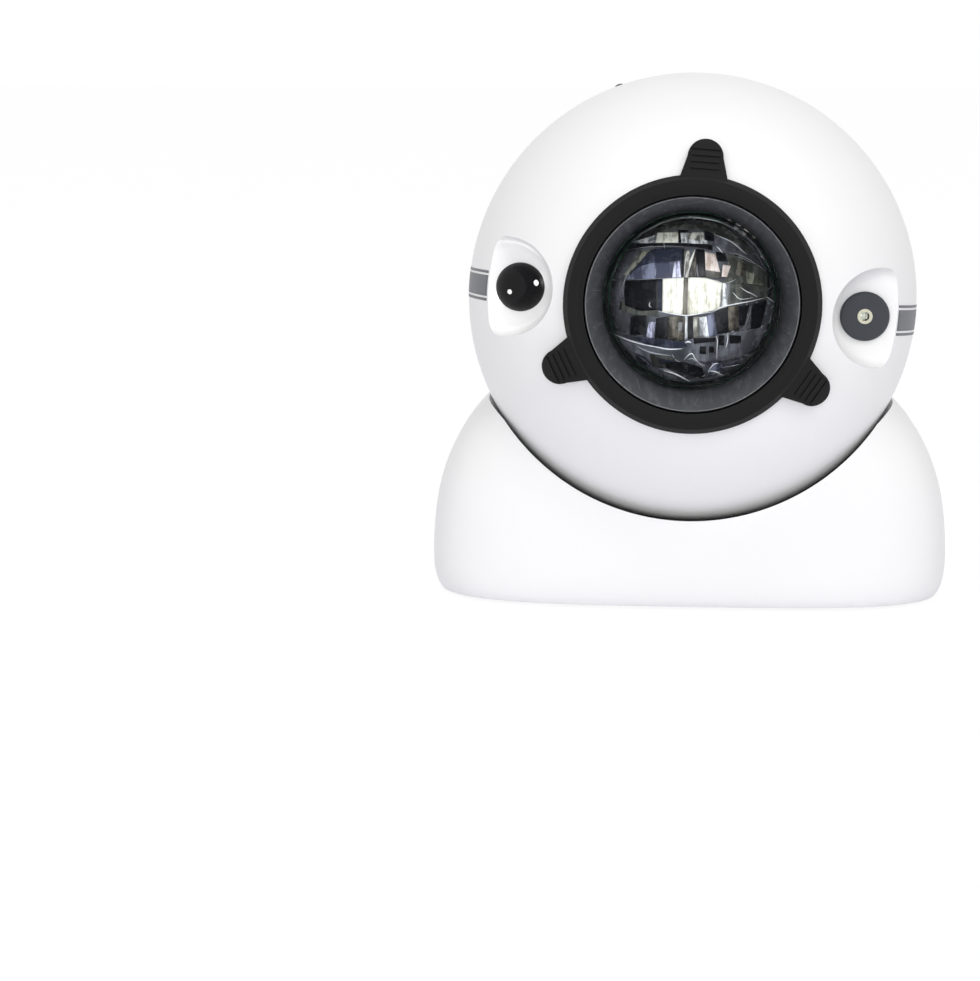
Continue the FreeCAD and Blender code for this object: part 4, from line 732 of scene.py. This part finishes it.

# Facets whose colours are painted reflections inside the lens: the lower edge and the upper edge,
# both from left to right

PAINTED_REFLECTION_FACETS = [
    ("mist", [-18.2, 17.5, -13.8, 21.1, -10.1, 23.1, -2.7, 25.1, 4.3, 24.5, 8.1, 23.8, 14.7, 19.2,
     19.2, 14, 22, 9.6], [-15.1, 20.2, -10.9, 22.7, -5.7, 24.6, 2.2, 25.1, 8.2, 23.8, 14.2, 20.8,
     19.3, 16.2, 22.7, 10.8, 23, 10.2]),
    ("moss", [-18, 17.7, -11.4, 19.7, -4.4, 21.5, 2.5, 21.3, 6.3, 20.1, 10.8, 18.7, 16.1, 14.2],
     [-13.8, 21.1, -10.1, 23.1, -2.7, 25.1, 4.3, 24.5, 8.1, 23.8, 14.7, 19.2, 19.2, 14]),
    ("haze", [5.9, 16.7, 10.7, 14.8, 13.8, 14.5, 21.6, 9.4], [6.3, 20.1, 10.8, 18.7, 16.1, 14.2, 22,
     9.6]),
    ("silver", [-18.2, 17.4, -13.8, 17.4, -11.3, 17.7], [-18, 17.6, -13.8, 18.8, -11, 20]),
    ("cream", [-11.3, 17.6, -4.2, 17.7], [-10.5, 20.6, -4.4, 20.9]),
    ("black", [-4.3, 17.7, -3.3, 17.7], [-4.5, 21.4, -1.3, 21.3]),
    ("silver", [-3.3, 17.7, -1.4, 17.6], [-3.7, 20.6, -1.3, 20.7]),
    ("pale", [-1.4, 18.6, 3.5, 18.4], [-1.3, 20.7, 3.2, 20.9]),
    ("silver", [-1.4, 17.5, 4.4, 17.4], [-1.4, 18.6, 4.2, 18.4]),
    ("black", [3.6, 18.3, 6.3, 18.2], [3.5, 21.2, 6.3, 20.2]),
    ("black", [-20.2, 15.1, -12.3, 16.2, -4, 16.6, 0.8, 16.5, 5.9, 15.4], [-18.4, 17.2, -11.7, 17.3,
     -4.1, 17.5, 0.8, 17.5, 5.9, 17.1]),
    ("haze", [-24.4, 6.4, -19.9, 6.6], [-20.3, 14.9, -16.6, 15.9]),
    ("olive", [-20.7, 7.7, -18.2, 8], [-15.5, 14.9, -12, 15.8]),
    ("navy", [-18.9, 8, -15.4, 10.7, -11.2, 11.9, -3, 12.4], [-13, 14.9, -11.3, 15.7, -7.5, 16.1,
     -2.7, 16]),
    ("slate", [-19.9, 6.6, -11.6, 7.1, -5.9, 7.5], [-16.5, 10.7, -11.2, 11.9, -5.9, 12]),
    ("lilac", [-5.9, 7.5, -3.3, 7.6], [-5.4, 12, -3.9, 12.4]),
    ("black", [-3.3, 7.6, -2.5, 7.7], [-3.2, 15.8, -2.5, 15.9]),
    ("pale", [-2.5, 7.7, -1.2, 7.7], [-2.5, 15.5, -0.9, 15.8]),
    ("cream", [-1.3, 9.3, -0.6, 10.6], [-0.9, 12.4, 0.7, 15.8]),
    ("brown", [-1.2, 7.7, 1.2, 7.8], [-0.6, 10.6, 1, 15.6]),
    ("black", [1.2, 7.7, 3.7, 7.7], [1, 15.8, 3.5, 15.7]),
    ("rose", [3.9, 9.8, 8.2, 9.2], [3.6, 15.2, 6.7, 14.5]),
    ("brown", [3.7, 7.6, 8.7, 7.4], [3.9, 9.8, 8.2, 9.3]),
    ("black", [7.1, 12.4, 10.2, 12.2], [6.8, 15.2, 9.7, 14.7]),
    ("rose", [8.6, 7.9, 10.2, 7.8], [9, 11.4, 11.3, 11]),
    ("moss", [9.3, 6, 15.8, 5.9, 23, 4.9], [10.7, 14.7, 13.8, 14.4, 23.1, 9]),
    ("brown", [12.7, 8.3, 15.5, 8], [13.5, 12.4, 15.9, 11.4]),
    ("olive", [16.2, 5.9, 21.5, 4.9], [15.9, 9.4, 19, 8.4]),
    ("haze", [-25.2, 0.9, -20.3, 0.9], [-24.5, 6, -20.1, 6.3]),
    ("black", [-19.9, -1, -15.3, -2.5, -9.8, -2.1], [-19.9, 6.2, -15.4, 6.6, -10.2, 7]),
    ("navy", [-10.2, -2.1, -8.7, -2.5], [-10.2, 7, -8.7, 7.2]),
    ("cream", [-8.7, -2.6, -6.1, -3, -2.7, -3.4], [-8.7, 7.2, -6.1, 7.4, -2.5, 7.7]),
    ("pale", [-5.7, 2.5, -3, 2.1], [-5.6, 7.4, -2.5, 7.7]),
    ("brown", [-2.7, -3.4, -1.3, -3.4], [-2.5, 7.7, -1.2, 7.7]),
    ("cream", [-1.3, -3.4, 2.8, -2.8, 8.2, -1.6], [-1.2, 7.7, 3.8, 7.6, 8.9, 6.1]),
    ("rose", [3.5, 4.5, 7.2, 4.2], [3.6, 7.4, 7.9, 6.6]),
    ("brown", [0.7, 5.2, 2.3, 5.1], [0.6, 7.2, 2.4, 7.2]),
    ("silver", [8.3, -1.6, 10.3, -0.9], [9, 6.1, 11.3, 5.9]),
    ("moss", [10.3, -0.9, 15.8, -0.2, 22.9, 1.1], [11.3, 5.9, 15.8, 5.9, 24.5, 4.6]),
    ("haze", [-23.7, -8.6, -18.6, -9.7], [-25.2, 0.3, -19.9, -1.7]),
    ("moss", [-21.7, -2.4, -16.4, -3.8, -9.5, -4.1], [-21.3, 0.3, -15.3, -2.1, -9.8, -2.4]),
    ("black", [-18.2, -9.9, -13.5, -10.4], [-18.1, -4.1, -13.4, -3.8]),
    ("lilac", [-13.5, -10.4, -11.2, -10.6], [-12.6, -5.7, -10.5, -5.6]),
    ("black", [-10.8, -10.7, -7, -10.9], [-10.5, -4.5, -6.9, -3.9]),
    ("brown", [-7, -11, -2.1, -11.3], [-6.9, -3.9, -2.1, -3.7]),
    ("silver", [-3.8, -8.1, -2.9, -8.2], [-3.8, -5.7, -2.7, -5.5]),
    ("silver", [-1.9, -10.9, -1.2, -10.9], [-1.9, -3.4, -1.2, -3.3]),
    ("black", [-1.1, -10.8, 0.6, -10.2], [-1.1, -3.6, 0.6, -3.5]),
    ("pale", [0.6, -10.2, 2, -10.1], [0.4, -4.1, 2, -3.8]),
    ("silver", [2.3, -9.9, 5.2, -10], [2.3, -4, 4.3, -3.8]),
    ("slate", [5.2, -10, 7.6, -9.4], [4.3, -3.8, 6.5, -2.7]),
    ("black", [7.6, -9.1, 11, -8.6], [6.5, -2.7, 10.6, -1]),
    ("brown", [11, -8.6, 14.1, -7.9], [10.6, -1, 13.7, -0.5]),
    ("black", [14.1, -6.6, 15.7, -6.6], [13.7, -0.7, 16.9, -0.4]),
    ("haze", [14.1, -8.2, 17.6, -7.9], [15.5, -6.6, 17.6, -0.7]),
    ("black", [17.6, -7.7, 20.8, -7.3], [17.6, -0.5, 22.2, 0.7]),
    ("navy", [-13.7, -12.5, -6.8, -13.4, -1.3, -12.9], [-18.2, -10.4, -10.2, -10.8, -2, -11.4]),
    ("haze", [0.4, -18.2, 7.6, -17.9, 14.6, -17, 21.2, -13.6], [0.1, -10.6, 7.6, -9.6, 14.5, -8.2,
     23.4, -6.6]),
    ("black", [2.5, -15.1, 4.4, -15.2], [2.5, -12.7, 4.4, -12.7]),
    ("black", [5.3, -14.7, 6.8, -14.7], [5.3, -12.7, 6.8, -12.7]),
    ("black", [8, -12.5, 9.7, -12.5], [8, -9.4, 9.7, -9.4]),
    ("black", [11.4, -12, 14.8, -11.9], [11.3, -9.4, 14.7, -9.6]),
    ("black", [0.7, -12, 7.1, -11.3], [0.6, -10.3, 7.1, -10.1]),
    ("mist", [-19.5, -16, -14.9, -20.3, -9.4, -23.4], [-22.5, -11.3, -15.8, -12.8, -10.2, -15.5]),
    ("navy", [-15.9, -18.5, -11, -20.3], [-16.9, -15.3, -13, -16.9]),
    ("moss", [-11.4, -19.8, -7.5, -19.7, -3.4, -21.4], [-12.3, -15.5, -7.5, -15.8, -4.7, -16.8]),
    ("black", [-7.5, -19.7, -2, -21.8, 4.2, -22.9], [-7.5, -17.9, -2, -17.5, 3.5, -19.6]),
    ("navy", [-9.6, -18.3, -2.7, -18.9, 0.8, -19.6], [-9.6, -16.7, -4.7, -17.4, 2.5, -19.1]),
    ("mist", [-8.7, -23.7, -2.6, -25.1, 4.1, -24.9, 12.4, -22], [-8.2, -21.1, -0.6, -24, 4.2, -23.1,
     11.2, -21.6]),
    ("navy", [9.7, -19.4, 14.6, -18.4], [9.4, -18.6, 14.3, -18]),
    ("slate", [5.3, -21.4, 9.8, -21.5], [6.3, -17.9, 9, -18.3]),
]


def pairs(numbers):
    """Points from a row of numbers, X and Y by turns."""
    return [Vector(pair) for pair in zip(numbers[::2], numbers[1::2])]


def along(points, share):
    """The point a share of the way along a line through points."""
    steps = [(end - start).length for start, end in zip(points, points[1:])]
    goal = share * sum(steps)
    for start, end, step in zip(points, points[1:], steps):
        if goal <= step:
            return start.lerp(end, goal / step)
        goal -= step
    return points[-1]


def inside_dome(place, radius):
    """A point of the dome's inside, over a place across the lens axis."""
    reach = min(place.length, radius * 0.985)
    x, y = place.normalized() * reach
    return Vector((x, y, DOME_CENTRE + math.sqrt(radius ** 2 - reach ** 2)))


class PROJECTOR_OT_dome(bpy.types.Operator):
    """Models the clear dome, the facets behind it with painted reflections, and folds painted as
    glints.
    """
    bl_idname = "projector.dome"
    bl_label = "Dome lens"

    def execute(self, context):
        self.add_backing()
        self.add_facets()
        self.add_glint_creases()
        self.add_streaks()
        self.add_dome()
        return {"FINISHED"}

    def add_dome(self):
        piece = cap(DOME_RADIUS, DOME_CENTRE, DOME_CENTRE)
        open_rim()
        widened_rim(DOME_RADIUS, BEZEL_THROAT - DOME_WALL / 8, 0, (0, 0, DOME_CENTRE))
        widened_rim(1, 1, DOME_WALL)
        closed_up(50)
        walled(piece, DOME_WALL, -1)
        placed(piece, HEAD, "clear_dome")
        piece.visible_shadow = False
        finish(piece, "barrel", "clear_lens", finish_of("clear_lens"), "dome_lens")

    def add_backing(self):
        piece = cap(FACET_BACK - 0.1, DOME_CENTRE, DOME_CENTRE + 0.3, 96)
        closed_up(50)
        walled(piece, DOME_WALL / 2, -1)
        placed(piece, UPRIGHT, "crinkled_film")
        finish(piece, "barrel", "smoky_bezel", film_finish(
            "crinkled_film", (0.05, 0.054, 0.063), (0.16, 0.17, 0.195)))

    def add_facets(self):
        # Each kind of facet gets its painted reflection.
        for layer, (kind, finish_made) in enumerate(facet_finishes().items()):
            radius = FACET_BACK + layer * FACET_STEP
            pieces = []
            for facet, *edges in PAINTED_REFLECTION_FACETS:
                if facet != kind:
                    continue
                low, high = [pairs(edge) for edge in edges]
                piece = moved_patch(lambda u, v: inside_dome(
                    along(low, u).lerp(along(high, u), v), radius), 16, 10)
                only(piece)
                bpy.ops.object.shade_smooth()
                walled(piece, FACET_STEP / 2, 1)
                pieces.append(piece)
            piece = placed(joined(pieces), UPRIGHT, f"{kind}_facets")
            finish(piece, "barrel", "mirror_cup", finish_made)

    def add_glint_creases(self):
        # Painted highlights along the creases: bright, silver and pale.
        for kind, colour in (("bright", (0.95, 0.97, 1.0)), ("silver", (0.6, 0.63, 0.65)),
                             ("pale", (0.3, 0.31, 0.33))):
            ribbons = [crease([inside_dome(place, FOLD_RADIUS) for place in pairs(line)], width)
                       for shine, width, line in GLINT_CREASES if shine == kind]
            piece = placed(joined(ribbons), UPRIGHT, f"{kind}_folds")
            finish(piece, "barrel", "clear_lens",
                   facet_finish(f"{kind}_folds", colour, shade(colour, 0.45), 0.0015, 0.3))

    def add_streaks(self):
        ribbons = []
        for outer, inner in BEZEL_STREAKS:
            line = [Vector(outer).lerp(Vector(inner), share / 4) for share in range(5)]
            ribbons.append(crease([on_funnel(x, y) for x, y in line], STREAK_WIDTH))
        ribbons.append(turned([(BEZEL_MOUTH, BEZEL_FRONT), (BEZEL_MOUTH, BEZEL_FRONT + 0.2),
                               (BARREL_RADIUS - 0.25, BEZEL_FRONT + 0.2),
                               (BARREL_RADIUS - 0.25, BEZEL_FRONT)]))
        piece = placed(joined(ribbons), UPRIGHT, "bezel_streaks")
        finish(piece, "barrel", "smoky_bezel",
               facet_finish("bezel_streaks", (0.3, 0.305, 0.32), (0.16, 0.163, 0.17), 0.0015,
                            0.35))


def on_funnel(x, y):
    """A point of the funnel's wall where it looks this far from the axis from in front."""
    radius = math.hypot(x, y)
    share = ((radius - BEZEL_THROAT + FUNNEL_HIDDEN)
             / (BEZEL_MOUTH - BEZEL_THROAT + FUNNEL_HIDDEN))
    share = max(0.02, min(0.97, share))
    real = BEZEL_THROAT + share * (BEZEL_MOUTH - BEZEL_THROAT)
    return Vector((x * real / radius, y * real / radius,
                   BEZEL_BACK + share * (BEZEL_FRONT - BEZEL_BACK)))


def crease(points, width):
    """A thin fold along a smooth line, tapered to its ends."""
    data = bpy.data.curves.new("fold", "CURVE")
    data.dimensions = "3D"
    data.bevel_depth = width / 2
    data.bevel_resolution = 2
    data.use_fill_caps = True
    line = data.splines.new("NURBS")
    line.points.add(len(points) - 1)
    for index, (knot, point) in enumerate(zip(line.points, points)):
        knot.co = (*point, 1)
        share = index / (len(points) - 1)
        knot.radius = 0.25 + 0.75 * math.sin(math.pi * share)
    line.order_u = 3
    line.use_endpoint_u = True
    line.resolution_u = 6
    fold = bpy.data.objects.new("fold", data)
    bpy.context.collection.objects.link(fold)
    only(fold)
    bpy.ops.object.convert(target="MESH")
    bpy.ops.object.shade_smooth()
    return bpy.context.object


# Painted reflections of the facets, from the deepest to the foremost: bright and dark colour,
# streak and its share. Mist is painted lighter still: painted light at the lens's shaded top and
# bottom rim.

PAINTED_FACET_LOOKS = {
    "mist": ((0.26, 0.27, 0.31), (0.13, 0.135, 0.155), 0.005, 0.42),
    "haze": ((0.2, 0.207, 0.235), (0.085, 0.089, 0.1), 0.004, 0.45),
    "moss": ((0.13, 0.135, 0.12), (0.05, 0.054, 0.048), 0.003, 0.45),
    "olive": ((0.3, 0.3, 0.23), (0.09, 0.09, 0.07), 0.002, 0.42),
    "slate": ((0.24, 0.26, 0.36), (0.07, 0.075, 0.11), 0.003, 0.44),
    "navy": ((0.08, 0.086, 0.125), (0.026, 0.029, 0.046), 0.003, 0.5),
    "brown": ((0.17, 0.155, 0.125), (0.035, 0.032, 0.028), 0.0018, 0.46),
    "black": ((0.04, 0.041, 0.047), (0.012, 0.012, 0.014), 0.003, 0.55),
    "pale": ((0.7, 0.7, 0.62), (0.13, 0.125, 0.11), 0.0014, 0.44),
    "rose": ((0.85, 0.76, 0.72), (0.45, 0.36, 0.3), 0.0024, 0.42),
    "silver": ((0.85, 0.87, 0.88), (0.2, 0.21, 0.22), 0.0014, 0.42),
    "lilac": ((0.75, 0.75, 0.95), (0.18, 0.18, 0.25), 0.0014, 0.42),
    "cream": ((0.86, 0.86, 0.76), (0.45, 0.43, 0.34), 0.0014, 0.37),
}


def facet_finishes():
    return {kind: facet_finish(f"{kind}_facets", *look) for kind, look in PAINTED_FACET_LOOKS.items()}


class PROJECTOR_OT_receiver(bpy.types.Operator):
    """Models the polished dome in the left eye."""
    bl_idname = "projector.receiver"
    bl_label = "Receiver dome"

    def execute(self, context):
        height = EYE_DOME_HEIGHT
        radius = (EYE_RADIUS ** 2 + height ** 2) / (2 * height)
        piece = cap(radius, height - radius, 0)
        open_rim()
        widened_rim(EYE_RADIUS, EYE_RADIUS, EYE_EDGE)
        widened_rim(EYE_RADIUS, EYE_HOLE, 0)
        widened_rim(EYE_HOLE, EYE_HOLE, EYE_SKIRT)
        bpy.ops.mesh.edge_face_add()
        closed_up(35)
        place = HEAD @ Matrix.Translation(Vector((-EYE_X, 0, WELL_FLOOR + EYE_EDGE)) * MM)
        placed(piece, place, "receiver_cap")
        finish(piece, "head", "glossy_black", finish_of("glossy_black"), "receiver_dome")
        return {"FINISHED"}


class PROJECTOR_OT_bands(bpy.types.Operator):
    """Lays the bare label bands beside the eyes, each between two thin lines."""
    bl_idname = "projector.bands"
    bl_label = "Label bands"

    def execute(self, context):
        strips = [("label_bands", -BAND_HALF_HEIGHT, BAND_HALF_HEIGHT),
                  ("upper_lines", BAND_LINE_PLACE - BAND_LINE_HALF,
                   BAND_LINE_PLACE + BAND_LINE_HALF),
                  ("lower_lines", -BAND_LINE_PLACE - BAND_LINE_HALF,
                   BAND_LINE_HALF - BAND_LINE_PLACE)]
        for name, low, high in strips:
            pieces = []
            for side in (-1, 1):
                piece = moved_patch(lambda u, v: self.on_ball(side, u, low, high, v), 24, 4)
                only(piece)
                bpy.ops.object.shade_smooth()
                bpy.ops.object.mode_set(mode="EDIT")
                bpy.ops.mesh.select_all(action="SELECT")
                if side > 0:
                    bpy.ops.mesh.flip_normals()
                bpy.ops.object.mode_set(mode="OBJECT")
                walled(piece, BAND_HEIGHT * 2, 1)
                pieces.append(piece)
            piece = placed(joined(pieces), HEAD, name)
            finish(piece, "head", "slate_plastic", printed(name, (0.125, 0.13, 0.143)))
        return {"FINISHED"}

    def on_ball(self, side, u, low, high, v):
        """A point of the ball: u runs from the side forwards, v from low to high."""
        height = BAND_MIDDLE + low + (high - low) * v
        angle = math.radians(BAND_FROM + (BAND_TO - BAND_FROM) * u)
        outer = math.sqrt((BALL_RADIUS - BAND_HEIGHT / 2) ** 2 - height ** 2)
        return Vector((side * outer * math.cos(angle), height, outer * math.sin(angle)))


OPERATORS = [PROJECTOR_OT_stage, PROJECTOR_OT_finishes, PROJECTOR_OT_bezel, PROJECTOR_OT_dome,
             PROJECTOR_OT_receiver, PROJECTOR_OT_bands]


class PROJECTOR_PT_panel(bpy.types.Panel):
    """Lists the pieces and the stage."""
    bl_idname = "PROJECTOR_PT_panel"
    bl_label = "Planetarium Projector"
    bl_space_type = "VIEW_3D"
    bl_region_type = "UI"
    bl_category = "Projector"

    def draw(self, context):
        for operator in OPERATORS:
            self.layout.operator(operator.bl_idname)


CLASSES = [StageSettings, ProjectorSettings, *OPERATORS, PROJECTOR_PT_panel]


def register():
    for item in CLASSES:
        bpy.utils.register_class(item)
    bpy.types.Scene.projector = PointerProperty(type=ProjectorSettings)


def unregister():
    del bpy.types.Scene.projector
    for item in reversed(CLASSES):
        bpy.utils.unregister_class(item)


def main():
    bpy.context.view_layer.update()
    register()
    for operator in OPERATORS:
        getattr(bpy.ops.projector, operator.bl_idname.split(".")[1])()


if __name__ == "__main__":
    main()
